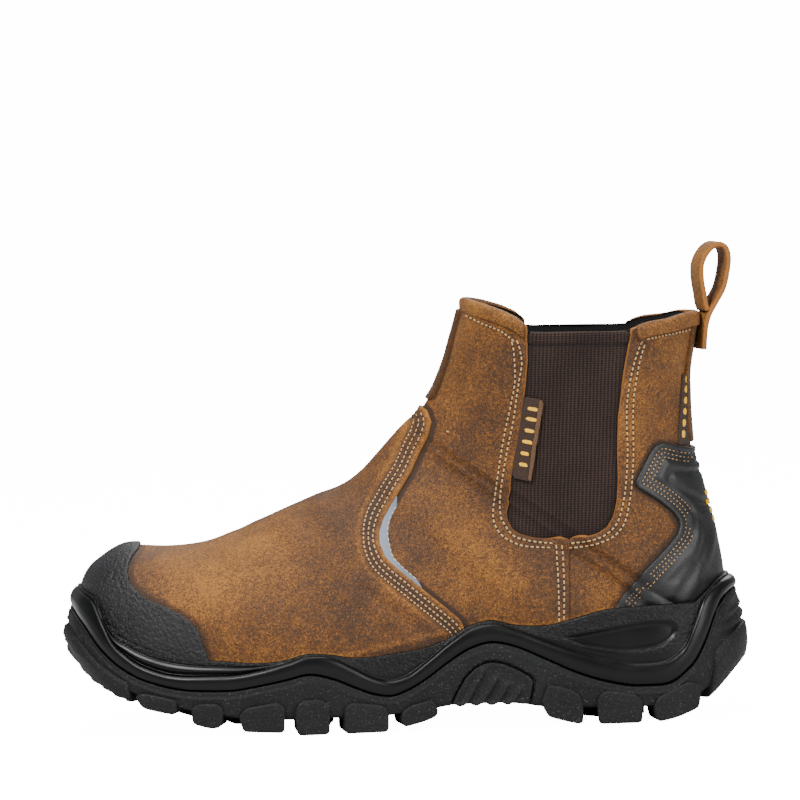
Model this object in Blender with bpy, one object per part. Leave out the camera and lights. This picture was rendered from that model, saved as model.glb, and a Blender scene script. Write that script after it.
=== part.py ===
"""Side gore work boot, left foot, in metres: toe at -X, heel at +X, outer side at -Y."""

import math

import bmesh
import bpy
import numpy as np

# Main sizes
LENGTH = 0.310
BALL_WIDTH = 0.110
SIDE_HEIGHT = 0.065
SHAFT_HEIGHT = 0.1875
HEEL_CENTRE = 0.2459

# Leather, rubber and gaps
WALL = 0.0022
PANEL = 0.0016
GAP = 0.0003
GUARD = 0.0015
GORE_THICK = 0.0016
LABEL_THICK = 0.0010
TAG_GAP = 0.004
BADGE_HALF = 0.08
LIP = 0.0050
SLAB = 0.0040
GROOVE_GAP = 0.0015
INSOLE_THICK = 0.0030
BINDING_DEPTH = 0.0060
BINDING_WRAP = 0.0015
STRIP_HALF_WIDTH = 0.0065
STRAP_HALF_WIDTH = 0.0100
LOOP_HALF_WIDTH = 0.0085
LOOP_THICK = 0.0025
LUG_DEPTH = 0.020
LUG_PROUD = 0.0014
LUG_SINK = 0.55
END_LUG_INSET = 0.0030
END_LUG_DEPTH = 0.012
LUG_FOOT_BACK = 0.0006
LUG_CROWN_BACK = 0.0008
LUG_REACH_IN = 0.7
GORE_HIDDEN = 0.006

# How far the rim's edge stands in from the outline, at the sides and round the ends
RIM_OFFSETS = (-0.0036, -0.0016)

# How far the upper stands in from the sole's outline, at the toe, the heel and the side
TOE_SETBACK = 0.0098
HEEL_SETBACK = 0.0125
SIDE_SETBACK = 0.0085

# Grids
UPPER_ROWS = 30
UPPER_COLUMNS = 20
SIDE_STATIONS = 42
END_STATIONS = 6
END_REACH = 0.06
FINE_STEPS = 24

# Sole outline from above: x is a share of LENGTH, the half widths are shares of BALL_WIDTH
OUTLINE = [
    # x, lateral, medial
    (0.000, -0.045, 0.045),
    (0.006, 0.082, 0.164),
    (0.020, 0.215, 0.290),
    (0.050, 0.335, 0.390),
    (0.100, 0.418, 0.448),
    (0.170, 0.475, 0.475),
    (0.250, 0.510, 0.484),
    (0.330, 0.518, 0.473),
    (0.420, 0.490, 0.420),
    (0.520, 0.445, 0.372),
    (0.620, 0.400, 0.350),
    (0.720, 0.382, 0.354),
    (0.820, 0.382, 0.360),
    (0.900, 0.345, 0.340),
    (0.955, 0.255, 0.258),
    (0.984, 0.158, 0.162),
    (0.996, 0.078, 0.082),
    (1.000, 0.000, 0.000),
]

# Lines along the sole's side: x is a share of LENGTH, the heights are shares of SIDE_HEIGHT
SOLE_SIDE = [
    # x, tread, base, groove, crest, rim
    (0.000, 0.540, 0.560, 0.918, 1.000, 1.014),
    (0.020, 0.437, 0.504, 0.839, 0.995, 1.012),
    (0.035, 0.382, 0.461, 0.757, 0.966, 0.985),
    (0.050, 0.346, 0.420, 0.652, 0.915, 0.945),
    (0.060, 0.322, 0.399, 0.593, 0.828, 0.870),
    (0.075, 0.283, 0.368, 0.524, 0.676, 0.741),
    (0.100, 0.237, 0.318, 0.440, 0.551, 0.663),
    (0.140, 0.172, 0.254, 0.363, 0.455, 0.584),
    (0.190, 0.077, 0.182, 0.318, 0.420, 0.533),
    (0.240, 0.034, 0.138, 0.312, 0.420, 0.514),
    (0.290, 0.011, 0.115, 0.343, 0.453, 0.498),
    (0.330, 0.000, 0.108, 0.380, 0.501, 0.518),
    (0.360, 0.000, 0.108, 0.409, 0.538, 0.551),
    (0.395, 0.000, 0.108, 0.372, 0.520, 0.536),
    (0.425, 0.000, 0.108, 0.310, 0.448, 0.511),
    (0.450, 0.000, 0.108, 0.262, 0.383, 0.510),
    (0.477, 0.009, 0.112, 0.241, 0.347, 0.522),
    (0.500, 0.026, 0.123, 0.273, 0.375, 0.536),
    (0.530, 0.056, 0.137, 0.351, 0.472, 0.560),
    (0.560, 0.101, 0.158, 0.452, 0.583, 0.611),
    (0.590, 0.112, 0.162, 0.538, 0.674, 0.690),
    (0.625, 0.107, 0.162, 0.582, 0.712, 0.728),
    (0.660, 0.076, 0.153, 0.546, 0.667, 0.690),
    (0.700, 0.030, 0.127, 0.459, 0.588, 0.680),
    (0.745, 0.000, 0.114, 0.358, 0.502, 0.722),
    (0.790, 0.000, 0.112, 0.287, 0.435, 0.776),
    (0.835, 0.000, 0.109, 0.250, 0.395, 0.791),
    (0.865, 0.000, 0.108, 0.249, 0.400, 0.798),
    (0.890, 0.024, 0.133, 0.278, 0.447, 0.800),
    (0.905, 0.045, 0.147, 0.334, 0.515, 0.801),
    (0.920, 0.070, 0.163, 0.402, 0.665, 0.803),
    (0.935, 0.105, 0.204, 0.528, 0.830, 0.858),
    (0.955, 0.154, 0.258, 0.761, 0.920, 0.940),
    (1.000, 0.400, 0.430, 0.910, 0.980, 1.000),
]

# How the sole's wall leans in with height: z is a share of SIDE_HEIGHT, the rest shares of BALL_WIDTH
LEAN = [
    # z, toe, side, heel
    (0.10, -0.008, -0.014, -0.090),
    (0.20, -0.008, -0.010, -0.060),
    (0.30, -0.006, -0.006, -0.026),
    (0.45, -0.004, -0.002, 0.000),
    (0.60, 0.000, 0.000, -0.007),
    (0.74, -0.011, -0.004, -0.020),
    (0.86, -0.025, -0.007, -0.033),
    (0.95, -0.036, -0.011, -0.047),
    (1.02, -0.052, -0.014, -0.070),
]

# Sections of the upper, from the toe over the instep to the collar. Each lies in the plane through
# its top point and its foot point. x is a share of LENGTH, z of SHAFT_HEIGHT, widths of BALL_WIDTH.
# on_sole 1 stands the foot point on the sole's outline, 0 closes it at the back seam.
UPPER = [
    # top_x, top_z, foot_x, foot_z, wide_at, lateral, medial, ridge_y, round_top, round_foot, on_sole
    (0.0316, 0.267, 0.0316, 0.203, 0.40, 0.000, 0.000, 0.045, 2.6, 1.00, 1.0),
    (0.0355, 0.331, 0.0361, 0.200, 0.40, 0.012, 0.012, 0.045, 2.6, 1.00, 1.0),
    (0.0445, 0.371, 0.0484, 0.195, 0.38, 0.020, 0.020, 0.045, 2.6, 1.00, 1.0),
    (0.0660, 0.404, 0.0770, 0.182, 0.36, 0.026, 0.026, 0.045, 2.6, 1.00, 1.0),
    (0.1050, 0.432, 0.1290, 0.164, 0.34, 0.030, 0.030, 0.045, 2.5, 1.00, 1.0),
    (0.1550, 0.428, 0.1940, 0.147, 0.32, 0.030, 0.030, 0.048, 2.4, 1.00, 1.0),
    (0.2130, 0.437, 0.2710, 0.134, 0.30, 0.030, 0.030, 0.052, 2.3, 1.00, 1.0),
    (0.2680, 0.468, 0.3550, 0.129, 0.28, 0.030, 0.030, 0.055, 2.2, 1.00, 1.0),
    (0.3230, 0.506, 0.4450, 0.131, 0.27, 0.028, 0.034, 0.055, 2.1, 1.00, 1.0),
    (0.3740, 0.541, 0.5420, 0.145, 0.30, 0.024, 0.028, 0.052, 2.05, 1.00, 1.0),
    (0.4180, 0.569, 0.6450, 0.165, 0.33, 0.020, 0.024, 0.046, 2.0, 1.00, 1.0),
    (0.4470, 0.603, 0.7420, 0.180, 0.33, 0.018, 0.022, 0.040, 2.0, 1.00, 1.0),
    (0.4690, 0.641, 0.8260, 0.189, 0.30, 0.020, 0.026, 0.034, 2.0, 0.95, 1.0),
    (0.4890, 0.677, 0.8900, 0.194, 0.29, 0.060, 0.066, 0.029, 2.0, 0.80, 1.0),
    (0.5050, 0.705, 0.9320, 0.201, 0.32, 0.160, 0.160, 0.025, 2.0, 0.60, 1.0),
    (0.5170, 0.723, 0.9560, 0.229, 0.35, 0.324, 0.316, 0.022, 2.0, 0.50, 0.0),
    (0.5280, 0.742, 0.9620, 0.288, 0.37, 0.325, 0.318, 0.018, 2.0, 0.50, 0.0),
    (0.5390, 0.768, 0.9590, 0.363, 0.39, 0.325, 0.320, 0.015, 2.0, 0.50, 0.0),
    (0.5520, 0.799, 0.9500, 0.448, 0.42, 0.327, 0.322, 0.012, 2.0, 0.50, 0.0),
    (0.5620, 0.835, 0.9380, 0.533, 0.44, 0.331, 0.327, 0.009, 2.0, 0.50, 0.0),
    (0.5710, 0.872, 0.9270, 0.619, 0.45, 0.337, 0.333, 0.006, 2.0, 0.50, 0.0),
    (0.5790, 0.915, 0.9220, 0.704, 0.46, 0.345, 0.342, 0.003, 2.0, 0.50, 0.0),
    (0.5880, 0.963, 0.9210, 0.800, 0.47, 0.356, 0.353, 0.000, 2.0, 0.50, 0.0),
    (0.5970, 1.016, 0.9300, 0.907, 0.48, 0.366, 0.363, 0.000, 2.0, 0.50, 0.0),
    (0.6050, 1.067, 0.9420, 1.003, 0.48, 0.373, 0.370, 0.000, 2.0, 0.50, 0.0),
]

# Outlines in side view: x is a share of LENGTH, z of SHAFT_HEIGHT
COLLAR_LINE = [
    # x, z
    (0.540, 1.020), (0.568, 1.020), (0.596, 1.019), (0.622, 1.008), (0.651, 0.992),
    (0.672, 0.975), (0.685, 0.957), (0.694, 0.946), (0.770, 0.939), (0.842, 0.942),
    (0.853, 0.950), (0.867, 0.956), (0.896, 0.961), (0.918, 0.970), (0.960, 0.972),
    (0.990, 0.972),
]
GORE_EDGE = [
    (0.6860, 0.930), (0.6860, 0.871), (0.6830, 0.823), (0.6740, 0.716), (0.6650, 0.645),
    (0.6580, 0.585), (0.6540, 0.537), (0.6520, 0.509), (0.6540, 0.487), (0.6600, 0.469),
    (0.6710, 0.457), (0.6880, 0.449), (0.7070, 0.445), (0.7360, 0.444), (0.7650, 0.446),
    (0.7820, 0.454), (0.7960, 0.469), (0.8060, 0.494), (0.8120, 0.530), (0.8150, 0.578),
    (0.8160, 0.674), (0.8180, 0.733), (0.8230, 0.781), (0.8270, 0.829), (0.8330, 0.876),
    (0.8400, 0.930),
]
VAMP_EDGE = [
    (0.500, 0.800), (0.528, 0.766), (0.543, 0.750), (0.548, 0.722), (0.541, 0.686),
    (0.529, 0.651), (0.515, 0.604), (0.499, 0.564), (0.484, 0.526), (0.473, 0.498),
    (0.467, 0.469), (0.467, 0.441), (0.474, 0.411), (0.488, 0.387), (0.510, 0.357),
    (0.538, 0.318), (0.559, 0.289), (0.580, 0.258), (0.592, 0.230),
]
TOE_GUARD_EDGE = [
    (0.145, 0.500), (0.121, 0.440), (0.115, 0.426), (0.108, 0.412), (0.105, 0.400),
    (0.104, 0.381), (0.108, 0.361), (0.118, 0.344), (0.132, 0.327), (0.150, 0.314),
    (0.165, 0.304), (0.180, 0.291), (0.194, 0.276), (0.202, 0.261), (0.208, 0.239),
    (0.212, 0.215), (0.219, 0.185),
]
COUNTER_EDGE = [
    (0.797, 0.250), (0.813, 0.295), (0.828, 0.323), (0.850, 0.364), (0.873, 0.401),
    (0.888, 0.427), (0.897, 0.445), (0.900, 0.461), (0.899, 0.478), (0.892, 0.496),
    (0.880, 0.515), (0.868, 0.532), (0.853, 0.549), (0.842, 0.561), (0.837, 0.571),
    (0.844, 0.593), (0.852, 0.616), (0.861, 0.643), (0.868, 0.658), (0.879, 0.665),
    (0.899, 0.655), (0.920, 0.646), (0.990, 0.632),
]
SIDE_LABEL = [(0.6885, 0.783), (0.7070, 0.774), (0.6860, 0.584), (0.6625, 0.592)]
BACK_LABEL = [(0.8900, 0.825), (0.9090, 0.825), (0.9060, 0.690), (0.8860, 0.690)]
HEEL_BARS = [(0.920, 0.455), (1.000, 0.455), (1.000, 0.540), (0.920, 0.540)]
# Lower edges of the strips over the two seams; their tops stop below the collar's binding
SEAM_STRIP_FOOT = [(0.470, 0.775), (0.600, 0.775)]
BACK_STRAP_FOOT = [(0.860, 0.672), (0.990, 0.642)]
SEAM_STRIP_TOP = [(0.650, 1.019), (0.540, 1.020)]
BACK_STRAP_TOP = [(0.990, 0.972), (0.860, 0.972)]
# The silver crescent beside the vamp's edge: its two ends in height, then shares of LENGTH
CRESCENT_ENDS = (0.318, 0.564)
CRESCENT_SHIFT = 0.0012
CRESCENT_WIDTH = 0.0145
CRESCENT_WIDEST = 0.445
CRESCENT_TAPER = 0.06
LOOP_PATH = [
    # x, z, on the loop's middle line from its tail up and over
    (0.9410, 0.880), (0.9440, 0.930), (0.9500, 0.964), (0.9610, 0.995), (0.9720, 1.026),
    (0.9790, 1.069), (0.9810, 1.102), (0.9770, 1.124), (0.9680, 1.132), (0.9570, 1.126),
    (0.9460, 1.106), (0.9400, 1.080), (0.9400, 1.046), (0.9430, 1.012), (0.9445, 0.992),
]

# Lugs: start and end along the side as shares of LENGTH, top as a share of the way up the wall
SIDE_LUGS = [
    # start, end, top
    (0.110, 0.168, 0.44),
    (0.192, 0.237, 0.48),
    (0.264, 0.325, 0.48),
    (0.345, 0.391, 0.50),
    (0.419, 0.476, 0.56),
    (0.500, 0.548, 0.40),
    (0.700, 0.757, 0.48),
    (0.779, 0.842, 0.68),
    (0.862, 0.930, 0.58),
]
CENTRE_LUGS = [
    # start, end, half width as a share of BALL_WIDTH
    (0.150, 0.200, 0.150),
    (0.225, 0.285, 0.170),
    (0.336, 0.392, 0.170),
    (0.408, 0.448, 0.140),
    (0.752, 0.846, 0.110),
]
END_LUGS = [
    # name, reach as a share of LENGTH, top, round the heel
    ("toe_lug", 0.085, 0.50, False),
    ("heel_lug", 0.046, 0.45, True),
]
CENTRE_TURN = 0.03
HEEL_SHARE = 0.6
FOREFOOT_TAPER = (0.20, 0.95)
HEEL_TAPER = (0.08, 0.90)

# The outsole's wall from below, and the midsole's band from the groove up to its crest
OUTSOLE_WALL = [
    # side line, lift, offset at the sides, offset round the ends
    ("base", 0.0000, -0.0080, -0.0050),
    ("base", 0.0000, -0.0015, -0.0015),
    ("groove", -0.0035, -0.0006, -0.0006),
    ("groove", 0.0000, -0.0014, -0.0010),
]
BAND_FOOT = (-0.0030, -0.0026)
BAND = [
    # share of the way up, offset at the sides, offset round the ends
    (0.24, -0.0014, -0.0010),
    (0.38, -0.0002, -0.0002),
    (0.70, -0.0002, -0.0002),
    (0.92, -0.0010, -0.0006),
]
CREST_OFFSETS = (-0.0024, -0.0014)


def table(names, rows):
    """The columns of a table, by name."""
    return dict(zip(names.split(), np.array(rows, float).T))


def smooth(at, knots, values):
    """Values between a table's rows, joined without corners and without overshoot."""
    at = np.clip(at, knots[0], knots[-1])
    span = np.diff(knots)
    slope = np.diff(values) / span
    inner = (slope[:-1] * span[1:] + slope[1:] * span[:-1]) / (span[:-1] + span[1:])
    least = np.minimum(abs(slope[:-1]), abs(slope[1:]))
    inner = np.clip(inner, -3 * least, 3 * least) * (slope[:-1] * slope[1:] > 0)
    tangent = np.concatenate([slope[:1], inner, slope[-1:]])
    i = np.clip(np.searchsorted(knots, at, "right") - 1, 0, len(span) - 1)
    t = (at - knots[i]) / span[i]
    return (
        values[i] * (1 + 2 * t) * (1 - t) ** 2
        + values[i + 1] * (3 - 2 * t) * t**2
        + span[i] * (tangent[i] * t * (1 - t) ** 2 - tangent[i + 1] * (1 - t) * t**2)
    )


def even(points, count):
    """The same open line with points at equal steps along it."""
    steps = np.linalg.norm(np.diff(points, axis=0), axis=1)
    along = np.concatenate([[0], np.cumsum(steps)])
    at = np.linspace(0, along[-1], count)
    return np.stack([np.interp(at, along, column) for column in points.T], axis=1)


SIDE = table("x tread base groove crest rim", SOLE_SIDE)
LEANS = table("z toe side heel", LEAN)
ROWS = table(
    "top_x top_z foot_x foot_z wide_at lateral medial ridge_y round_top round_foot on_sole", UPPER
)


def side_line(name, x):
    """Height of a line on the sole's side, at a distance from the toe."""
    return smooth(np.asarray(x) / LENGTH, SIDE["x"], SIDE[name]) * SIDE_HEIGHT


def sole_outline():
    """The sole's outline from toe tip to heel: (points, outward normals) of each side, close together."""
    shares = np.array(OUTLINE)
    lateral = np.stack([shares[:, 0] * LENGTH, -shares[:, 1] * BALL_WIDTH], axis=1)
    medial = np.stack([shares[:, 0] * LENGTH, shares[:, 2] * BALL_WIDTH], axis=1)
    ring = np.concatenate([lateral, medial[-2:0:-1]])
    before, after = np.roll(ring, 1, axis=0), np.roll(ring, -1, axis=0)
    reach_in = np.linalg.norm(ring - before, axis=1)[:, None]
    reach_out = np.linalg.norm(after - ring, axis=1)[:, None]
    tangent = (ring - before) / reach_in * reach_out + (after - ring) / reach_out * reach_in
    tangent /= reach_in + reach_out
    t = np.linspace(0, 1, FINE_STEPS, endpoint=False)[:, None]
    fine = []
    for i in range(len(ring)):
        j = (i + 1) % len(ring)
        fine.append(
            ring[i] * (1 + 2 * t) * (1 - t) ** 2
            + ring[j] * (3 - 2 * t) * t**2
            + reach_out[i] * (tangent[i] * t * (1 - t) ** 2 - tangent[j] * (1 - t) * t**2)
        )
    fine = np.concatenate(fine)
    half = FINE_STEPS * (len(OUTLINE) - 1)
    found = []
    for sign, points in ((-1, fine[: half + 1]), (1, np.concatenate([fine[:1], fine[: half - 1 : -1]]))):
        points = even(points, 6 * SIDE_STATIONS + 1)
        run = np.gradient(points, axis=0)
        normal = np.stack([-run[:, 1], run[:, 0]], axis=1) * sign
        normal /= np.linalg.norm(normal, axis=1)[:, None]
        normal[0] = (-1, 0)
        normal[-1] = (1, 0)
        found.append((points, normal))
    return found


def station_shares():
    """Where the sole's stations stand, as shares of its length: closer together round both ends."""
    end = END_REACH * (np.arange(END_STATIONS + 1) / END_STATIONS) ** 2
    middle = np.linspace(END_REACH, 1 - END_REACH, SIDE_STATIONS - 2 * END_STATIONS + 1)
    return np.concatenate([end, middle[1:-1], 1 - end[::-1]])


def foot_widths():
    """The upper's lower edge: distances from the toe, and the lateral and medial half widths there."""
    first, last = TOE_SETBACK, LENGTH - HEEL_SETBACK
    at = first + (last - first) * (1 - np.cos(np.linspace(0, math.pi, 400))) / 2
    sides = []
    for points, _ in OUTLINES:
        x = first + points[:, 0] / LENGTH * (last - first)
        sides.append(np.interp(at, x, points[:, 1]))
    middle = (sides[0] + sides[1]) / 2
    half = (sides[1] - sides[0]) / 2
    half = half - SIDE_SETBACK * np.tanh(half / (2 * SIDE_SETBACK))
    return at, middle - half, middle + half


OUTLINES = sole_outline()
FOOT_AT, FOOT_LATERAL, FOOT_MEDIAL = foot_widths()


def section(row):
    """One section's line, from its lateral foot over the top to its medial foot."""
    top = np.array([row["top_x"] * LENGTH, row["top_z"] * SHAFT_HEIGHT])
    foot = np.array([row["foot_x"] * LENGTH, row["foot_z"] * SHAFT_HEIGHT])
    ridge = row["ridge_y"] * BALL_WIDTH
    wide = row["wide_at"]
    halves = []
    for name, edge in (("lateral", FOOT_LATERAL), ("medial", FOOT_MEDIAL)):
        sign = -1 if name == "lateral" else 1
        at_foot = row["on_sole"] * np.interp(foot[0], FOOT_AT, edge)
        widest = at_foot + sign * row[name] * BALL_WIDTH
        turn = np.linspace(0, math.pi / 2, 60)
        low = 1 - np.cos(turn)
        rise = (1 - (1 - low) ** 2) ** row["round_foot"]
        high = np.sin(turn)
        fall = (1 - high ** row["round_top"]) ** (1 / row["round_top"])
        share = np.concatenate([low * wide, wide + (1 - wide) * high[1:]])
        y = np.concatenate([at_foot + (widest - at_foot) * rise, ridge + (widest - ridge) * fall[1:]])
        spot = foot + (top - foot) * share[:, None]
        line = np.stack([spot[:, 0], y, spot[:, 1]], axis=1)
        halves.append(even(line, UPPER_COLUMNS // 2 + 1))
    return np.concatenate([halves[0], halves[1][-2::-1]])


def upper_grid():
    """The upper's outer form as a grid of points, a row for each section."""
    run = np.hypot(np.diff(ROWS["top_x"]) * LENGTH, np.diff(ROWS["top_z"]) * SHAFT_HEIGHT)
    rise = np.hypot(np.diff(ROWS["foot_x"]) * LENGTH, np.diff(ROWS["foot_z"]) * SHAFT_HEIGHT)
    knots = np.concatenate([[0], np.cumsum(run + 0.6 * rise)])
    places = knots[-1] * np.linspace(0, 1, UPPER_ROWS + 1) ** 1.12
    lines = []
    for place in places:
        lines.append(section({name: smooth(place, knots, ROWS[name]) for name in ROWS}))
    grid = np.array(lines)
    mean = (grid[0] + grid[0][::-1]) / 2
    grid[0] = mean
    return grid


def weld(points, faces):
    """Points at the same place made one, with the faces that this flattens dropped."""
    keys, first, index = np.unique(
        np.round(points * 1e7).astype(np.int64), axis=0, return_index=True, return_inverse=True
    )
    faces = index.reshape(-1)[np.array(faces)]
    whole = (
        (faces[:, 0] != faces[:, 1]) & (faces[:, 1] != faces[:, 2]) & (faces[:, 2] != faces[:, 0])
    )
    return points[first], faces[whole]


def surface():
    """The upper's form as welded points, triangles that face out, and outward normals."""
    grid = upper_grid()
    rows, columns = grid.shape[:2]
    at = np.arange(rows * columns).reshape(rows, columns)
    a, b, c, d = at[:-1, :-1], at[:-1, 1:], at[1:, 1:], at[1:, :-1]
    half = columns // 2
    faces = []
    for i in range(rows - 1):
        for j in range(columns - 1):
            if (j < half) != (i == 0):
                faces += [(a[i, j], c[i, j], b[i, j]), (a[i, j], d[i, j], c[i, j])]
            else:
                faces += [(a[i, j], d[i, j], b[i, j]), (b[i, j], d[i, j], c[i, j])]
    points, faces = weld(grid.reshape(-1, 3), faces)
    corners = points[faces]
    across = np.cross(corners[:, 1] - corners[:, 0], corners[:, 2] - corners[:, 0])
    middle = points.mean(axis=0)
    if (across * (corners.mean(axis=1) - middle)).sum() < 0:
        faces = faces[:, ::-1]
        across = -across
    normals = np.zeros_like(points)
    for corner in range(3):
        np.add.at(normals, faces[:, corner], across)
    normals /= np.linalg.norm(normals, axis=1)[:, None]
    return points, faces, normals


POINTS, FACES, NORMALS = surface()
GRID = upper_grid()

MODEL = bpy.data.collections.new("side_gore_work_boot")
HELPERS = bpy.data.collections.new("cutters")


def clear_scene():
    for thing in list(bpy.data.objects):
        bpy.data.objects.remove(thing, do_unlink=True)
    bpy.context.scene.collection.children.link(MODEL)
    bpy.context.scene.collection.children.link(HELPERS)
    HELPERS.hide_render = True


def material(name, colour, roughness, metallic=0.0):
    made = bpy.data.materials.new(name)
    made.use_nodes = True
    shader = made.node_tree.nodes["Principled BSDF"]
    shader.inputs["Base Color"].default_value = (*colour, 1)
    shader.inputs["Roughness"].default_value = roughness
    shader.inputs["Metallic"].default_value = metallic
    return made


def add(name, points, faces, paint=None):
    """A mesh object with its origin under the heel's centre. Without a paint it is a cutter."""
    mesh = bpy.data.meshes.new(name)
    moved = np.array(points) - np.array([HEEL_CENTRE, 0, 0])
    mesh.from_pydata(moved.tolist(), [], [tuple(int(k) for k in face) for face in faces])
    mesh.validate()
    thing = bpy.data.objects.new(name, mesh)
    if paint:
        mesh.materials.append(paint)
        MODEL.objects.link(thing)
    else:
        HELPERS.objects.link(thing)
        thing.hide_render = True
        thing.display_type = "WIRE"
    return thing


def boolean(thing, operation, other):
    step = thing.modifiers.new(operation.lower(), "BOOLEAN")
    step.operation = operation
    step.solver = "EXACT"
    step.object = other
    return step


def shell(name, inner, outer, paint=None):
    """The upper's form between two distances from it, as a closed solid."""
    count = len(POINTS)
    points = np.concatenate([POINTS + NORMALS * outer, POINTS + NORMALS * inner])
    directed = np.concatenate([FACES[:, [0, 1]], FACES[:, [1, 2]], FACES[:, [2, 0]]])
    known = {(int(i), int(j)) for i, j in directed}
    faces = [tuple(face) for face in FACES] + [tuple(face[::-1] + count) for face in FACES]
    for i, j in sorted(known):
        if (j, i) not in known:
            faces += [(j, i, i + count), (j, i + count, j + count)]
    return add(name, points, faces, paint)


def last_form(name, clearance, below, paint=None):
    """The solid that the upper fills, grown by a clearance, with its flat bottom lowered."""
    grid = GRID
    rows, columns = grid.shape[:2]
    keys = {tuple(key): k for k, key in enumerate(np.round(POINTS * 1e7).astype(np.int64))}
    at = np.array([keys[tuple(key)] for key in np.round(grid.reshape(-1, 3) * 1e7).astype(np.int64)])
    at = at.reshape(rows, columns)
    points = list(POINTS + NORMALS * clearance)
    faces = [tuple(face) for face in FACES]
    foot = []
    for i in range(rows):
        if at[i, 0] != at[i, -1]:
            foot.append(i)
    last = foot[-1] + 1
    chain = [at[0, 0]] + [at[i, 0] for i in foot] + [at[last, 0]]
    chain += [at[i, -1] for i in reversed(foot)]
    lowered = {}
    for k in chain:
        lowered[k] = len(points)
        points.append(points[k] - np.array([0, 0, below]))
    for i, j in zip(chain, chain[1:] + chain[:1]):
        faces += [(i, lowered[i], lowered[j]), (i, lowered[j], j)]
    left = [at[0, 0]] + [at[i, 0] for i in foot] + [at[last, 0]]
    right = [at[0, 0]] + [at[i, -1] for i in foot] + [at[last, 0]]
    for k in range(len(left) - 1):
        a, b = lowered[left[k]], lowered[left[k + 1]]
        c, d = lowered[right[k + 1]], lowered[right[k]]
        for face in ((a, b, c), (a, c, d)):
            if len(set(face)) == 3:
                faces.append(face)
    top = at[-1]
    for k in range(columns // 2):
        a, b, c, d = top[k], top[k + 1], top[columns - 2 - k], top[columns - 1 - k]
        for face in ((a, b, c), (a, c, d)):
            if len(set(face)) == 3:
                faces.append(face)
    return face_out(add(name, points, faces, paint))


def face_out(thing):
    """Turns a closed mesh's faces outward."""
    work = bmesh.new()
    work.from_mesh(thing.data)
    bmesh.ops.recalc_face_normals(work, faces=work.faces)
    work.to_mesh(thing.data)
    work.free()
    return thing


def prism(name, outline, y_from=-1.0, y_to=1.0, tall=SHAFT_HEIGHT, paint=None):
    """A side-view outline, in shares, drawn out across the boot. The y limits are shares of BALL_WIDTH."""
    flat = np.array([(x * LENGTH, z * tall) for x, z in outline])
    count = len(flat)
    points = [(x, y_from * BALL_WIDTH, z) for x, z in flat]
    points += [(x, y_to * BALL_WIDTH, z) for x, z in flat]
    faces = [tuple(range(count)), tuple(range(2 * count - 1, count - 1, -1))]
    for k in range(count):
        m = (k + 1) % count
        faces.append((k, m, m + count, k + count))
    return face_out(add(name, points, faces, paint))


def rim_line(first, last, above=GAP):
    """The rim's own points between two shares of LENGTH, raised a little, in side-view shares."""
    ring = ring_points("rim", 0.0, *RIM_OFFSETS)[0]
    xs = ring[:, 0] / LENGTH
    zs = (ring[:, 2] + above) / SHAFT_HEIGHT
    low, high = min(first, last), max(first, last)
    inner = [(float(x), float(z)) for x, z in zip(xs, zs) if low < x < high]
    ends = [(float(x), float(np.interp(x, xs, zs))) for x in (low, high)]
    line = [ends[0]] + inner + [ends[1]]
    return line if first < last else line[::-1]


def lean(toward, heights):
    """How far the wall leans in at a height, for a wall whose normal's x part is given."""
    share = heights / SIDE_HEIGHT
    side = smooth(share, LEANS["z"], LEANS["side"])
    end = np.where(
        toward < 0, smooth(share, LEANS["z"], LEANS["toe"]), smooth(share, LEANS["z"], LEANS["heel"])
    )
    weight = toward**2
    return (side * (1 - weight) + end * weight) * BALL_WIDTH


def ring_points(line, lift, side_offset, end_offset, share=0.0):
    """Two sides of points round the sole, at a side line or at a share of the way up the band."""

    def height_at(x):
        low = side_line(line, x)
        if share:
            low = low + (side_line("crest", x) - low) * share
        return low + lift

    curves = []
    for points, normals in OUTLINES:
        offset = side_offset + (end_offset - side_offset) * normals[:, 0] ** 2
        flat = points + normals * offset[:, None]
        for _ in range(3):
            bend = lean(normals[:, 0], height_at(flat[:, 0]))
            flat = points + normals * (offset + bend)[:, None]
        curves.append(flat)
    first = max(curve[0, 0] for curve in curves)
    last = min(curve[-1, 0] for curve in curves)
    x = first + (last - first) * station_shares()
    return [np.column_stack([x, np.interp(x, c[:, 0], c[:, 1]), height_at(x)]) for c in curves]


def ring_solid(name, levels, paint=None):
    """A closed solid from levels of points round the sole, with ruled floors across it."""
    points = []
    chains = []
    for lateral, medial in levels:
        tip = (lateral[0] + medial[0]) / 2
        back = (lateral[-1] + medial[-1]) / 2
        start = len(points)
        steps = len(lateral)
        points.append(tip)
        points.extend(lateral[1:-1])
        points.append(back)
        points.extend(medial[1:-1])
        left = [start] + list(range(start + 1, start + steps - 1)) + [start + steps - 1]
        right = [start] + list(range(start + steps, start + 2 * steps - 2)) + [start + steps - 1]
        chains.append((left, right))
    faces = []
    for (left_a, right_a), (left_b, right_b) in zip(chains, chains[1:]):
        for a, b in ((left_a, left_b), (right_a, right_b)):
            for k in range(len(a) - 1):
                faces += [(a[k], a[k + 1], b[k + 1]), (a[k], b[k + 1], b[k])]
    for left, right in (chains[0], chains[-1]):
        for k in range(len(left) - 1):
            for face in ((left[k], left[k + 1], right[k + 1]), (left[k], right[k + 1], right[k])):
                if len(set(face)) == 3:
                    faces.append(face)
    return face_out(add(name, points, faces, paint))


def lug(name, corners_low, corners_high):
    """A block between a low and a high polygon of the same number of corners."""
    return lug_along(name, [list(corners_low), list(corners_high)])


def tread_height(x):
    return float(side_line("tread", x))


def wall_height(x, share):
    """A height on the outsole's wall, as a share of the way from its lower edge to the groove."""
    base = float(side_line("base", x))
    return base + (float(side_line("groove", x)) - base) * share


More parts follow.
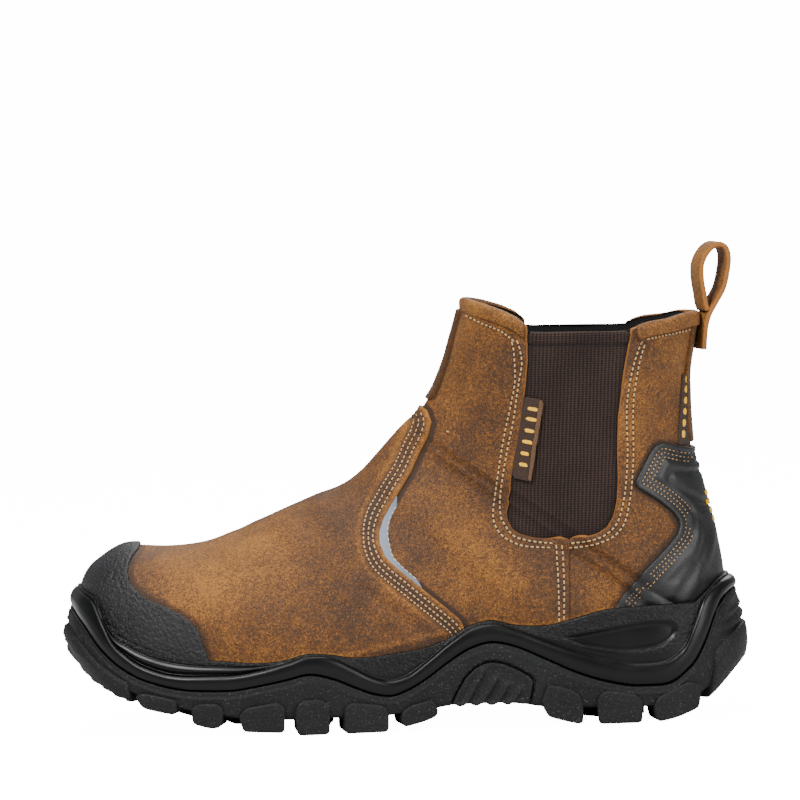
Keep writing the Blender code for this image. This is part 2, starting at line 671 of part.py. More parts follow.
def outline_spots(side, xs):
    """Points of one side's outline at distances from the toe, with the way each faces."""
    points, normals = OUTLINES[side]
    spots = np.column_stack([np.interp(xs, points[:, 0], points[:, k]) for k in (0, 1)])
    facings = np.column_stack([np.interp(xs, points[:, 0], normals[:, k]) for k in (0, 1)])
    return spots, facings / np.linalg.norm(facings, axis=1)[:, None]


def lug_section(spot, facing, inner, top):
    """One cross-section of an edge lug: down the wall, under the slab and back up inside it."""
    bend = float(lean(facing[0], np.array(tread_height(spot[0]))))
    tuck = END_LUG_INSET * (facing[0] < 0) * facing[0] ** 2
    foot = spot + facing * (bend + LUG_PROUD - LUG_FOOT_BACK - tuck)
    crown = spot + facing * (LUG_PROUD - LUG_CROWN_BACK)
    middle = spot + facing * LUG_PROUD
    back = spot + facing * (float(lean(facing[0], side_line("base", spot[0]))) - LUG_REACH_IN * LIP)
    high = [float(side_line("base", x)) + SLAB * LUG_SINK for x in (back[0], inner[0])]
    return [
        (foot[0], foot[1], tread_height(foot[0])),
        (middle[0], middle[1], wall_height(middle[0], 0.1)),
        (crown[0], crown[1], wall_height(crown[0], top)),
        (back[0], back[1], wall_height(back[0], top)),
        (back[0], back[1], high[0]),
        (inner[0], inner[1], high[1]),
        (inner[0], inner[1], tread_height(inner[0])),
    ]


def fan(corners):
    """A polygon's triangles, all from its first corner."""
    return [(corners[0], corners[k], corners[k + 1]) for k in range(1, len(corners) - 1)]


def lug_along(name, sections):
    """A lug drawn through its cross-sections."""
    count = len(sections[0])
    points = [point for section_points in sections for point in section_points]
    start = len(points) - count
    faces = fan(range(count)) + [face[::-1] for face in fan(range(start, start + count))]
    for k in range(len(sections) - 1):
        for m in range(count):
            a, b = k * count + m, k * count + (m + 1) % count
            faces += [(a, b, b + count), (a, b + count, a + count)]
    return face_out(add(name, points, faces))


def side_lug(name, side, start, end, top):
    """A lug on the sole's edge, tapering toward the middle."""
    xs = np.linspace(start, end, 3) * LENGTH
    spots, facings = outline_spots(side, xs)
    sign = -1 if side == 0 else 1
    taper = FOREFOOT_TAPER if end < HEEL_SHARE else HEEL_TAPER
    sections = []
    for k, share in enumerate((taper[0], 0.5 * (taper[0] + taper[1]), taper[1])):
        x = xs[0] + (xs[2] - xs[0]) * share
        inner = (x, spots[k][1] - sign * LUG_DEPTH)
        sections.append(lug_section(spots[k], facings[k], inner, top))
    return lug_along(name, sections)


def centre_lug(name, start, end, half, turn):
    """A lug along the sole's middle, turned a little, with its point toward the toe."""
    xs = np.array([start, start + (end - start) * 0.35, end, end, start + (end - start) * 0.35])
    ys = np.array([0.0, -half, -half * 0.8, half * 0.8, half]) * BALL_WIDTH + turn * BALL_WIDTH
    low = [(x * LENGTH, y, tread_height(x * LENGTH)) for x, y in zip(xs, ys)]
    high = [
        (x * LENGTH, y, float(side_line("base", x * LENGTH)) + SLAB * LUG_SINK) for x, y in zip(xs, ys)
    ]
    return lug(name, low, high)


def end_spots(reach, heel):
    """Outline points round the toe or the heel's back, from the lateral side to the medial one."""
    shares = np.array([1.0, 0.62, 0.28, 0.06]) * reach
    xs = (1 - shares if heel else shares) * LENGTH
    spots, facings = outline_spots(0, xs)
    spots_back, facings_back = outline_spots(1, xs[::-1])
    return np.concatenate([spots, spots_back]), np.concatenate([facings, facings_back])


def end_lug(name, reach, top, heel):
    """The lug round the toe, or round the heel's back: reach is its share of LENGTH."""
    spots, facings = end_spots(reach, heel)
    focus = np.array([(1 - 2.2 * reach if heel else 2.2 * reach) * LENGTH, spots[:, 1].mean()])
    sections = []
    for spot, facing in zip(spots, facings):
        inward = (focus - spot) / np.linalg.norm(focus - spot)
        sections.append(lug_section(spot, facing, spot + inward * END_LUG_DEPTH, top))
    return lug_along(name, sections)


def join_all(thing, label, others):
    """Unions a piece with every object of a cutter collection."""
    group = bpy.data.collections.new(label)
    HELPERS.children.link(group)
    for other in others:
        HELPERS.objects.unlink(other)
        group.objects.link(other)
    step = thing.modifiers.new("union", "BOOLEAN")
    step.operation = "UNION"
    step.solver = "EXACT"
    step.operand_type = "COLLECTION"
    step.collection = group
    return step


def make_sole(rubber, band):
    outsole_levels = [ring_points(*level) for level in OUTSOLE_WALL]
    outsole_levels.append(ring_points("groove", 0, -LIP, -LIP))
    outsole_levels.append(ring_points("base", SLAB, -LIP, -LIP))
    outsole = ring_solid("outsole", outsole_levels, rubber)
    lugs = []
    for k, (start, end, top) in enumerate(SIDE_LUGS):
        for side in (0, 1):
            lugs.append(side_lug("lug_%d_%d" % (k, side), side, start, end, top))
    for k, (start, end, half) in enumerate(CENTRE_LUGS):
        turn = CENTRE_TURN if end < HEEL_SHARE else 0.0
        lugs.append(centre_lug("centre_lug_%d" % k, start, end, half, turn))
    for name, reach, top, heel in END_LUGS:
        lugs.append(end_lug(name, reach, top, heel))
    join_all(outsole, "lugs", lugs)

    within = -LIP - 3 * GAP
    midsole_levels = [
        ring_points("base", SLAB + 2 * GAP, within, within),
        ring_points("groove", GROOVE_GAP, within, within),
        ring_points("groove", GROOVE_GAP, *BAND_FOOT),
    ]
    for share, at_sides, at_ends in BAND:
        midsole_levels.append(ring_points("groove", 0.0, at_sides, at_ends, share))
    midsole_levels.append(ring_points("crest", 0.0, *CREST_OFFSETS))
    midsole_levels.append(ring_points("rim", 0.0, *RIM_OFFSETS))
    midsole = ring_solid("midsole", midsole_levels, band)
    boolean(midsole, "DIFFERENCE", last_form("basin_form", GAP, GAP))


def make_insole(paint):
    """The board and footbed that fill the upper's bottom, inside its wall."""
    insole = last_form("insole", -WALL - GAP, -GAP, paint)
    foot = GRID[GRID[:, 0, 1] != GRID[:, -1, 1]][:, 0]
    under = [(x / LENGTH, z / SHAFT_HEIGHT) for x, _, z in foot]
    over = [(x, z + (2 * GAP + INSOLE_THICK) / SHAFT_HEIGHT) for x, z in reversed(under)]
    drop = 0.05
    low = [(under[0][0] - drop, -drop), (under[-1][0] + drop, -drop)]
    ends = [(under[-1][0] + drop, over[0][1]), *over, (under[0][0] - drop, over[-1][1])]
    boolean(insole, "INTERSECT", prism("insole_keep", low + ends))
    return insole


def make_upper(leather):
    collar = COLLAR_LINE
    trim = BINDING_WRAP + 2 * GAP
    below = [(x, z - trim / SHAFT_HEIGHT) for x, z in collar]
    box = [(1.2, below[-1][1]), (1.2, -0.2), (-0.2, -0.2), (-0.2, below[0][1])]
    keep = prism("upper_keep", below + box)
    gore_cut = prism("gore_cut", [(0.684, 1.2)] + GORE_EDGE + [(0.842, 1.2)])
    upper = shell("upper", -WALL, 0.0, leather)
    boolean(upper, "INTERSECT", keep)
    boolean(upper, "DIFFERENCE", gore_cut)

    gap_form = shell("binding_gap", -WALL - GAP, GAP)
    near = [(x, z - BINDING_WRAP / SHAFT_HEIGHT) for x, z in collar]
    boolean(gap_form, "INTERSECT", prism("binding_keep", near + box))
    depth = BINDING_DEPTH / SHAFT_HEIGHT
    for name, first, last in (
        ("collar_binding_front", 0.0, GORE_EDGE[0][0] - 0.0005),
        ("collar_binding_rear", GORE_EDGE[-1][0] + 0.0005, 1.2),
    ):
        xs = np.array([x for x, _ in collar])
        zs = np.array([z for _, z in collar])
        at = np.linspace(max(first, xs[0]), min(last, xs[-1]), 14)
        line = [(float(x), float(np.interp(x, xs, zs))) for x in at]
        under = [(x, z - depth) for x, z in reversed(line)]
        binding = shell(name, -WALL - BINDING_WRAP, BINDING_WRAP, leather)
        boolean(binding, "INTERSECT", prism(name + "_keep", line + under))
        boolean(binding, "DIFFERENCE", gap_form)
    return upper


def make_gores(elastic):
    outline = np.array(GORE_EDGE)
    centre = np.array([0.745, 0.70])
    grown = []
    for x, z in outline:
        reach = np.array([(x - centre[0]) * LENGTH, (z - centre[1]) * SHAFT_HEIGHT])
        reach *= 1 + GORE_HIDDEN / np.linalg.norm(reach)
        grown.append((centre[0] + reach[0] / LENGTH, centre[1] + reach[1] / SHAFT_HEIGHT))
    first, last = outline[0][0] + 0.002, outline[-1][0] - 0.002
    neck = [(first, 0.905), (first, 0.938)]
    neck_back = [(last, 0.935), (last, 0.905)]
    body = [point for point in grown if point[1] < 0.89]
    line = neck[::-1] + body + neck_back[::-1]
    for name, y_from, y_to in (("gore_lateral", -1.0, 0.0), ("gore_medial", 0.0, 1.0)):
        gore = shell(name, -WALL - GAP - GORE_THICK, -WALL - GAP, elastic)
        boolean(gore, "INTERSECT", prism(name + "_keep", line, y_from, y_to))


def make_overlays(leather, rubber, silver, cloth, yellow):
    outer = GAP + PANEL
    vamp = shell("vamp", GAP, outer, leather)
    under = rim_line(0.588, 0.0)
    over = [(-0.05, 0.900), (0.480, 0.900)]
    keep = over + VAMP_EDGE[:-1] + [(0.588, 0.245)] + under + [(-0.05, under[-1][1])]
    boolean(vamp, "INTERSECT", prism("vamp_keep", keep))

    guard = shell("toe_guard", outer + GAP, outer + GAP + GUARD, rubber)
    under = rim_line(0.216, 0.0)
    keep = [(-0.05, 0.520)] + TOE_GUARD_EDGE[:-1] + under + [(-0.05, under[-1][1])]
    boolean(guard, "INTERSECT", prism("guard_keep", keep))

    counter = shell("heel_counter", GAP, outer, rubber)
    keep = COUNTER_EDGE[1:] + [(1.03, 0.632)] + rim_line(1.03, 0.800)
    boolean(counter, "INTERSECT", prism("counter_keep", keep))

    edge = [p for p in VAMP_EDGE if CRESCENT_ENDS[0] <= p[1] <= CRESCENT_ENDS[1]]
    left = [(x + CRESCENT_SHIFT, z) for x, z in edge]
    right = []
    for x, z in edge[1:-1]:
        right.append((x + CRESCENT_WIDTH - abs(z - CRESCENT_WIDEST) * CRESCENT_TAPER, z))
    for name, y_from, y_to in (("trim_lateral", -1.0, 0.0), ("trim_medial", 0.0, 1.0)):
        trim = shell(name, GAP, GAP + LABEL_THICK, silver)
        boolean(trim, "INTERSECT", prism(name + "_keep", left + right[::-1], y_from, y_to))

    drop = (BINDING_DEPTH + GAP) / SHAFT_HEIGHT
    half = STRIP_HALF_WIDTH / BALL_WIDTH
    strip = shell("front_seam_strip", GAP, outer, leather)
    keep = SEAM_STRIP_FOOT + [(x, z - drop) for x, z in SEAM_STRIP_TOP]
    boolean(strip, "INTERSECT", prism("strip_keep", keep, -half, half))

    half = STRAP_HALF_WIDTH / BALL_WIDTH
    strap = shell("back_strap", GAP, outer, leather)
    keep = BACK_STRAP_FOOT + [(x, z - drop) for x, z in BACK_STRAP_TOP]
    boolean(strap, "INTERSECT", prism("strap_keep", keep, -half, half))

    label = shell("side_label", -WALL + GAP, -WALL + GAP + LABEL_THICK, cloth)
    boolean(label, "INTERSECT", prism("label_keep", SIDE_LABEL, -1.0, 0.0))

    tag = shell("back_label", GAP, GAP + LABEL_THICK, cloth)
    boolean(tag, "INTERSECT", prism("tag_keep", BACK_LABEL, -1.0, -half - TAG_GAP))

    badge = shell("heel_badge", outer + GAP, outer + GAP + LABEL_THICK, yellow)
    boolean(badge, "INTERSECT", prism("badge_keep", HEEL_BARS, -BADGE_HALF, BADGE_HALF))


def make_loop(leather):
    """A strip folded over and sewn to the back strap by its tail."""
    path = np.array([(x * LENGTH, z * SHAFT_HEIGHT) for x, z in LOOP_PATH])
    run = np.gradient(path, axis=0)
    normal = np.stack([run[:, 1], -run[:, 0]], axis=1)
    normal /= np.linalg.norm(normal, axis=1)[:, None]
    outer = path + normal * LOOP_THICK / 2
    inner = path - normal * LOOP_THICK / 2
    ring = list(outer) + list(inner[::-1])
    count = len(ring)
    points = [(x, -LOOP_HALF_WIDTH, z) for x, z in ring]
    points += [(x, LOOP_HALF_WIDTH, z) for x, z in ring]
    faces = []
    half = len(path)
    for k in range(half - 1):
        a, b, c, d = k, k + 1, count - 2 - k, count - 1 - k
        faces += [(a, b, c, d), (a + count, d + count, c + count, b + count)]
    for k in range(count):
        m = (k + 1) % count
        faces.append((k, k + count, m + count, m))
    return face_out(add("pull_loop", points, faces, leather))


def main():
    clear_scene()
    leather = material("leather_brown", (0.20, 0.085, 0.035), 0.6)
    rubber = material("rubber_black", (0.03, 0.03, 0.032), 0.7)
    band = material("band_black", (0.02, 0.02, 0.022), 0.3)
    elastic = material("elastic_brown", (0.035, 0.024, 0.020), 0.85)
    board = material("board_tan", (0.35, 0.25, 0.16), 0.8)
    silver = material("trim_silver", (0.45, 0.45, 0.46), 0.35)
    cloth = material("cloth_dark", (0.05, 0.035, 0.028), 0.8)
    yellow = material("badge_yellow", (0.70, 0.50, 0.05), 0.5)
    make_sole(rubber, band)
    make_insole(board)
    make_upper(leather)
    make_gores(elastic)
    make_overlays(leather, rubber, silver, cloth, yellow)
    make_loop(leather)


main()
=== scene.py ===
import math

import bmesh
import bpy
import numpy as np
from mathutils import Matrix, Vector
from mathutils.bvhtree import BVHTree
from mathutils.kdtree import KDTree


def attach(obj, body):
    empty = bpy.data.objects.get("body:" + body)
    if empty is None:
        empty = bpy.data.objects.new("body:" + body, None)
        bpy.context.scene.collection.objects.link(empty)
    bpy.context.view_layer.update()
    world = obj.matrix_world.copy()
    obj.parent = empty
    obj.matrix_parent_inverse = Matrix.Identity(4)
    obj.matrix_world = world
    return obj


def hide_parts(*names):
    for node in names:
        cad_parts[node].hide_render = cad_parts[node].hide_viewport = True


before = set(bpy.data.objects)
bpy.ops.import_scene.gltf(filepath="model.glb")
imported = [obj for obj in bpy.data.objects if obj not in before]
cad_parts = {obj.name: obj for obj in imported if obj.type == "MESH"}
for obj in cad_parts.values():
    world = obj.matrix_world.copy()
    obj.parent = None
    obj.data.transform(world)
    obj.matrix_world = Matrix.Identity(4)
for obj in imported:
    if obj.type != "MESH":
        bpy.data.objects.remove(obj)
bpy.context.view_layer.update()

# Main sizes in metres. x runs from the toe tip, z from the floor; heelCentre moves them to the frame.
boot = {
    "length": 0.310,
    "ballWidth": 0.110,
    "sideHeight": 0.065,
    "shaftHeight": 0.1875,
    "heelCentre": 0.2459,
    "lip": 0.0050,
    "toeSetback": 0.0098,
    "heelSetback": 0.0125,
    "sideSetback": 0.0085,
}
mm = 0.001
length = boot["length"]
ballWidth = boot["ballWidth"]
sideHeight = boot["sideHeight"]
shaftHeight = boot["shaftHeight"]

# Outline from above, x as a share of the length, the rest of the ball width
outlineTable = [
    # x, lateral, medial
    (0.000, -0.045, 0.045),
    (0.006, 0.082, 0.164),
    (0.020, 0.215, 0.290),
    (0.050, 0.335, 0.390),
    (0.100, 0.418, 0.448),
    (0.170, 0.475, 0.475),
    (0.250, 0.510, 0.484),
    (0.330, 0.518, 0.473),
    (0.420, 0.490, 0.420),
    (0.520, 0.445, 0.372),
    (0.620, 0.400, 0.350),
    (0.720, 0.382, 0.354),
    (0.820, 0.382, 0.360),
    (0.900, 0.345, 0.340),
    (0.955, 0.255, 0.258),
    (0.984, 0.158, 0.162),
    (0.996, 0.078, 0.082),
    (1.000, 0.000, 0.000),
]

# Levels of the sole's side, x as a share of the length, the rest of the side height
soleSideTable = [
    # x, tread, base, groove, crest, rim
    (0.000, 0.540, 0.560, 0.918, 1.000, 1.014),
    (0.020, 0.437, 0.504, 0.839, 0.995, 1.012),
    (0.035, 0.382, 0.461, 0.757, 0.966, 0.985),
    (0.050, 0.346, 0.420, 0.652, 0.915, 0.945),
    (0.060, 0.322, 0.399, 0.593, 0.828, 0.870),
    (0.075, 0.283, 0.368, 0.524, 0.676, 0.741),
    (0.100, 0.237, 0.318, 0.440, 0.551, 0.663),
    (0.140, 0.172, 0.254, 0.363, 0.455, 0.584),
    (0.190, 0.077, 0.182, 0.318, 0.420, 0.533),
    (0.240, 0.034, 0.138, 0.312, 0.420, 0.514),
    (0.290, 0.011, 0.115, 0.343, 0.453, 0.498),
    (0.330, 0.000, 0.108, 0.380, 0.501, 0.518),
    (0.360, 0.000, 0.108, 0.409, 0.538, 0.551),
    (0.395, 0.000, 0.108, 0.372, 0.520, 0.536),
    (0.425, 0.000, 0.108, 0.310, 0.448, 0.511),
    (0.450, 0.000, 0.108, 0.262, 0.383, 0.510),
    (0.477, 0.009, 0.112, 0.241, 0.347, 0.522),
    (0.500, 0.026, 0.123, 0.273, 0.375, 0.536),
    (0.530, 0.056, 0.137, 0.351, 0.472, 0.560),
    (0.560, 0.101, 0.158, 0.452, 0.583, 0.611),
    (0.590, 0.112, 0.162, 0.538, 0.674, 0.690),
    (0.625, 0.107, 0.162, 0.582, 0.712, 0.728),
    (0.660, 0.076, 0.153, 0.546, 0.667, 0.690),
    (0.700, 0.030, 0.127, 0.459, 0.588, 0.680),
    (0.745, 0.000, 0.114, 0.358, 0.502, 0.722),
    (0.790, 0.000, 0.112, 0.287, 0.435, 0.776),
    (0.835, 0.000, 0.109, 0.250, 0.395, 0.791),
    (0.865, 0.000, 0.108, 0.249, 0.400, 0.798),
    (0.890, 0.024, 0.133, 0.278, 0.447, 0.800),
    (0.905, 0.045, 0.147, 0.334, 0.515, 0.801),
    (0.920, 0.070, 0.163, 0.402, 0.665, 0.803),
    (0.935, 0.105, 0.204, 0.528, 0.830, 0.858),
    (0.955, 0.154, 0.258, 0.761, 0.920, 0.940),
    (1.000, 0.400, 0.430, 0.910, 0.980, 1.000),
]

# How far the side leans out at a share z of the side height, as shares of the ball width
leanTable = [
    # z, toe, side, heel
    (0.10, -0.008, -0.014, -0.090),
    (0.20, -0.008, -0.010, -0.060),
    (0.30, -0.006, -0.006, -0.026),
    (0.45, -0.004, -0.002, 0.000),
    (0.60, 0.000, 0.000, -0.007),
    (0.74, -0.011, -0.004, -0.020),
    (0.86, -0.025, -0.007, -0.033),
    (0.95, -0.036, -0.011, -0.047),
    (1.02, -0.052, -0.014, -0.070),
]

# Sections of the upper: x shares of the length, z of the shaft height, y of the ball width
upperTable = [
    # topX, topZ, footX, footZ, wideAt, lateral, medial, ridgeY, roundTop, roundFoot, onSole
    (0.0316, 0.267, 0.0316, 0.203, 0.40, 0.000, 0.000, 0.045, 2.6, 1.00, 1.0),
    (0.0355, 0.331, 0.0361, 0.200, 0.40, 0.012, 0.012, 0.045, 2.6, 1.00, 1.0),
    (0.0445, 0.371, 0.0484, 0.195, 0.38, 0.020, 0.020, 0.045, 2.6, 1.00, 1.0),
    (0.0660, 0.404, 0.0770, 0.182, 0.36, 0.026, 0.026, 0.045, 2.6, 1.00, 1.0),
    (0.1050, 0.432, 0.1290, 0.164, 0.34, 0.030, 0.030, 0.045, 2.5, 1.00, 1.0),
    (0.1550, 0.428, 0.1940, 0.147, 0.32, 0.030, 0.030, 0.048, 2.4, 1.00, 1.0),
    (0.2130, 0.437, 0.2710, 0.134, 0.30, 0.030, 0.030, 0.052, 2.3, 1.00, 1.0),
    (0.2680, 0.468, 0.3550, 0.129, 0.28, 0.030, 0.030, 0.055, 2.2, 1.00, 1.0),
    (0.3230, 0.506, 0.4450, 0.131, 0.27, 0.028, 0.034, 0.055, 2.1, 1.00, 1.0),
    (0.3740, 0.541, 0.5420, 0.145, 0.30, 0.024, 0.028, 0.052, 2.05, 1.00, 1.0),
    (0.4180, 0.569, 0.6450, 0.165, 0.33, 0.020, 0.024, 0.046, 2.0, 1.00, 1.0),
    (0.4470, 0.603, 0.7420, 0.180, 0.33, 0.018, 0.022, 0.040, 2.0, 1.00, 1.0),
    (0.4690, 0.641, 0.8260, 0.189, 0.30, 0.020, 0.026, 0.034, 2.0, 0.95, 1.0),
    (0.4890, 0.677, 0.8900, 0.194, 0.29, 0.060, 0.066, 0.029, 2.0, 0.80, 1.0),
    (0.5050, 0.705, 0.9320, 0.201, 0.32, 0.160, 0.160, 0.025, 2.0, 0.60, 1.0),
    (0.5170, 0.723, 0.9560, 0.229, 0.35, 0.324, 0.316, 0.022, 2.0, 0.50, 0.0),
    (0.5280, 0.742, 0.9620, 0.288, 0.37, 0.325, 0.318, 0.018, 2.0, 0.50, 0.0),
    (0.5390, 0.768, 0.9590, 0.363, 0.39, 0.325, 0.320, 0.015, 2.0, 0.50, 0.0),
    (0.5520, 0.799, 0.9500, 0.448, 0.42, 0.327, 0.322, 0.012, 2.0, 0.50, 0.0),
    (0.5620, 0.835, 0.9380, 0.533, 0.44, 0.331, 0.327, 0.009, 2.0, 0.50, 0.0),
    (0.5710, 0.872, 0.9270, 0.619, 0.45, 0.337, 0.333, 0.006, 2.0, 0.50, 0.0),
    (0.5790, 0.915, 0.9220, 0.704, 0.46, 0.345, 0.342, 0.003, 2.0, 0.50, 0.0),
    (0.5880, 0.963, 0.9210, 0.800, 0.47, 0.356, 0.353, 0.000, 2.0, 0.50, 0.0),
    (0.5970, 1.016, 0.9300, 0.907, 0.48, 0.366, 0.363, 0.000, 2.0, 0.50, 0.0),
    (0.6050, 1.067, 0.9420, 1.003, 0.48, 0.373, 0.370, 0.000, 2.0, 0.50, 0.0),
]

# Side-view lines: x as a share of the length, z of the shaft height
collarLine = [
    (0.540, 1.020), (0.568, 1.020), (0.596, 1.019), (0.622, 1.008), (0.651, 0.992), (0.672, 0.975),
    (0.685, 0.957), (0.694, 0.946), (0.770, 0.939), (0.842, 0.942), (0.853, 0.950), (0.867, 0.956),
    (0.896, 0.961), (0.918, 0.970), (0.960, 0.972), (0.990, 0.972),
]

goreEdge = [
    (0.6860, 0.930), (0.6860, 0.871), (0.6830, 0.823), (0.6740, 0.716), (0.6650, 0.645), (0.6580, 0.585),
    (0.6540, 0.537), (0.6520, 0.509), (0.6540, 0.487), (0.6600, 0.469), (0.6710, 0.457), (0.6880, 0.449),
    (0.7070, 0.445), (0.7360, 0.444), (0.7650, 0.446), (0.7820, 0.454), (0.7960, 0.469), (0.8060, 0.494),
    (0.8120, 0.530), (0.8150, 0.578), (0.8160, 0.674), (0.8180, 0.733), (0.8230, 0.781), (0.8270, 0.829),
    (0.8330, 0.876), (0.8400, 0.930),
]

vampEdge = [
    (0.500, 0.800), (0.528, 0.766), (0.543, 0.750), (0.548, 0.722), (0.541, 0.686), (0.529, 0.651),
    (0.515, 0.604), (0.499, 0.564), (0.484, 0.526), (0.473, 0.498), (0.467, 0.469), (0.467, 0.441),
    (0.474, 0.411), (0.488, 0.387), (0.510, 0.357), (0.538, 0.318), (0.559, 0.289), (0.580, 0.258),
    (0.592, 0.230),
]

toeGuardEdge = [
    (0.145, 0.500), (0.121, 0.440), (0.115, 0.426), (0.108, 0.412), (0.105, 0.400), (0.104, 0.381),
    (0.108, 0.361), (0.118, 0.344), (0.132, 0.327), (0.150, 0.314), (0.165, 0.304), (0.180, 0.291),
    (0.194, 0.276), (0.202, 0.261), (0.208, 0.239), (0.212, 0.215), (0.219, 0.185),
]

counterEdge = [
    (0.797, 0.250), (0.813, 0.295), (0.828, 0.323), (0.850, 0.364), (0.873, 0.401), (0.888, 0.427),
    (0.897, 0.445), (0.900, 0.461), (0.899, 0.478), (0.892, 0.496), (0.880, 0.515), (0.868, 0.532),
    (0.853, 0.549), (0.842, 0.561), (0.837, 0.571), (0.844, 0.593), (0.852, 0.616), (0.861, 0.643),
    (0.868, 0.658), (0.879, 0.665), (0.899, 0.655), (0.920, 0.646), (0.990, 0.632),
]

# The loop's middle line from its tail up and over
loopPath = [
    (0.9410, 0.880), (0.9440, 0.930), (0.9500, 0.964), (0.9610, 0.995), (0.9720, 1.026), (0.9790, 1.069),
    (0.9810, 1.102), (0.9770, 1.124), (0.9680, 1.132), (0.9570, 1.126), (0.9460, 1.106), (0.9400, 1.080),
    (0.9400, 1.046), (0.9430, 1.012), (0.9445, 0.992),
]


def toColumns(names, rows):
    return dict(zip(names.split(), np.array(rows, float).T))


def hermite(a, b, slopeA, slopeB, span, t):
    start = a * (1 + 2 * t) * (1 - t) ** 2 + b * (3 - 2 * t) * t**2
    return start + span * (slopeA * t * (1 - t) ** 2 - slopeB * (1 - t) * t**2)


def smooth(at, knots, values):
    at = np.clip(at, knots[0], knots[-1])
    span = np.diff(knots)
    slope = np.diff(values) / span
    inner = (slope[:-1] * span[1:] + slope[1:] * span[:-1]) / (span[:-1] + span[1:])
    least = np.minimum(abs(slope[:-1]), abs(slope[1:]))
    inner = np.clip(inner, -3 * least, 3 * least) * (slope[:-1] * slope[1:] > 0)
    tangent = np.concatenate([slope[:1], inner, slope[-1:]])
    i = np.clip(np.searchsorted(knots, at, "right") - 1, 0, len(span) - 1)
    t = (at - knots[i]) / span[i]
    return hermite(values[i], values[i + 1], tangent[i], tangent[i + 1], span[i], t)


def unit(vectors):
    return vectors / np.linalg.norm(vectors, axis=-1, keepdims=True)


def columnsAt(at, knots, table):
    return np.column_stack([np.interp(at, knots, column) for column in table.T])


def evenLine(points, count):
    points = np.asarray(points, float)
    steps = np.linalg.norm(np.diff(points, axis=0), axis=1)
    along = np.concatenate([[0], np.cumsum(steps)])
    at = np.linspace(0, along[-1], count)
    return columnsAt(at, along, points)


def roundLine(points, count, closed=False):
    # a smooth curve through points, at equal steps
    points = np.asarray(points, float)
    ring = np.vstack([points[-1:], points, points[:2]]) if closed else np.vstack(
        [2 * points[0] - points[1], points, 2 * points[-1] - points[-2]]
    )
    fine = []
    for k in range(1, len(ring) - 2):
        a, b, c, d = ring[k - 1], ring[k], ring[k + 1], ring[k + 2]
        for t in np.linspace(0, 1, 12, endpoint=False):
            bend = (2 * a - 5 * b + 4 * c - d) * t**2 + (3 * b - a - 3 * c + d) * t**3
            fine.append(0.5 * (2 * b + (c - a) * t + bend))
    fine.append(ring[-2])
    return evenLine(np.array(fine), count)


side = toColumns("x tread base groove crest rim", soleSideTable)
leans = toColumns("z toe side heel", leanTable)
upperRows = toColumns(
    "topX topZ footX footZ wideAt lateral medial ridgeY roundTop roundFoot onSole", upperTable
)


def sideLine(name, x):
    return smooth(np.asarray(x) / length, side["x"], side[name]) * sideHeight


def soleOutline(count):
    rows = np.array(outlineTable)
    lateral = rows[:, [0, 1]] * (length, -ballWidth)
    medial = rows[:, [0, 2]] * (length, ballWidth)
    ring = np.concatenate([lateral, medial[-2:0:-1]])
    before, after = np.roll(ring, 1, axis=0), np.roll(ring, -1, axis=0)
    reachIn = np.linalg.norm(ring - before, axis=1)[:, None]
    reachOut = np.linalg.norm(after - ring, axis=1)[:, None]
    tangent = (ring - before) / reachIn * reachOut + (after - ring) / reachOut * reachIn
    tangent /= reachIn + reachOut
    fineSteps = 40
    t = np.linspace(0, 1, fineSteps, endpoint=False)[:, None]
    fine = []
    for i in range(len(ring)):
        j = (i + 1) % len(ring)
        fine.append(hermite(ring[i], ring[j], tangent[i], tangent[j], reachOut[i], t))
    fine = np.concatenate(fine)
    half = fineSteps * (len(outlineTable) - 1)
    found = []
    inner = np.concatenate([fine[:1], fine[: half - 1 : -1]])
    for sign, points in ((-1, fine[: half + 1]), (1, inner)):
        points = evenLine(points, count)
        run = np.gradient(points, axis=0)
        normal = unit(np.stack([-run[:, 1], run[:, 0]], axis=1) * sign)
        normal[0] = (-1, 0)
        normal[-1] = (1, 0)
        found.append((points, normal))
    return found


outlines = soleOutline(900)


def footWidths():
    first, last = boot["toeSetback"], length - boot["heelSetback"]
    at = first + (last - first) * (1 - np.cos(np.linspace(0, math.pi, 600))) / 2
    sides = []
    for points, _ in outlines:
        x = first + points[:, 0] / length * (last - first)
        sides.append(np.interp(at, x, points[:, 1]))
    middle = (sides[0] + sides[1]) / 2
    half = (sides[1] - sides[0]) / 2
    half = half - boot["sideSetback"] * np.tanh(half / (2 * boot["sideSetback"]))
    return at, middle - half, middle + half


footAt, footLateral, footMedial = footWidths()


def section(row, columns):
    top = np.array([row["topX"] * length, row["topZ"] * shaftHeight])
    foot = np.array([row["footX"] * length, row["footZ"] * shaftHeight])
    ridge = row["ridgeY"] * ballWidth
    wide = row["wideAt"]
    halves = []
    for name, edge in (("lateral", footLateral), ("medial", footMedial)):
        sign = -1 if name == "lateral" else 1
        atFoot = row["onSole"] * np.interp(foot[0], footAt, edge)
        widest = atFoot + sign * row[name] * ballWidth
        turn = np.linspace(0, math.pi / 2, 120)
        low = 1 - np.cos(turn)
        rise = (1 - (1 - low) ** 2) ** row["roundFoot"]
        high = np.sin(turn)
        fall = (1 - high ** row["roundTop"]) ** (1 / row["roundTop"])
        share = np.concatenate([low * wide, wide + (1 - wide) * high[1:]])
        y = np.concatenate([atFoot + (widest - atFoot) * rise, ridge + (widest - ridge) * fall[1:]])
        spot = foot + (top - foot) * share[:, None]
        line = np.stack([spot[:, 0], y, spot[:, 1]], axis=1)
        halves.append(evenLine(line, columns // 2 + 1))
    return np.concatenate([halves[0], halves[1][-2::-1]])


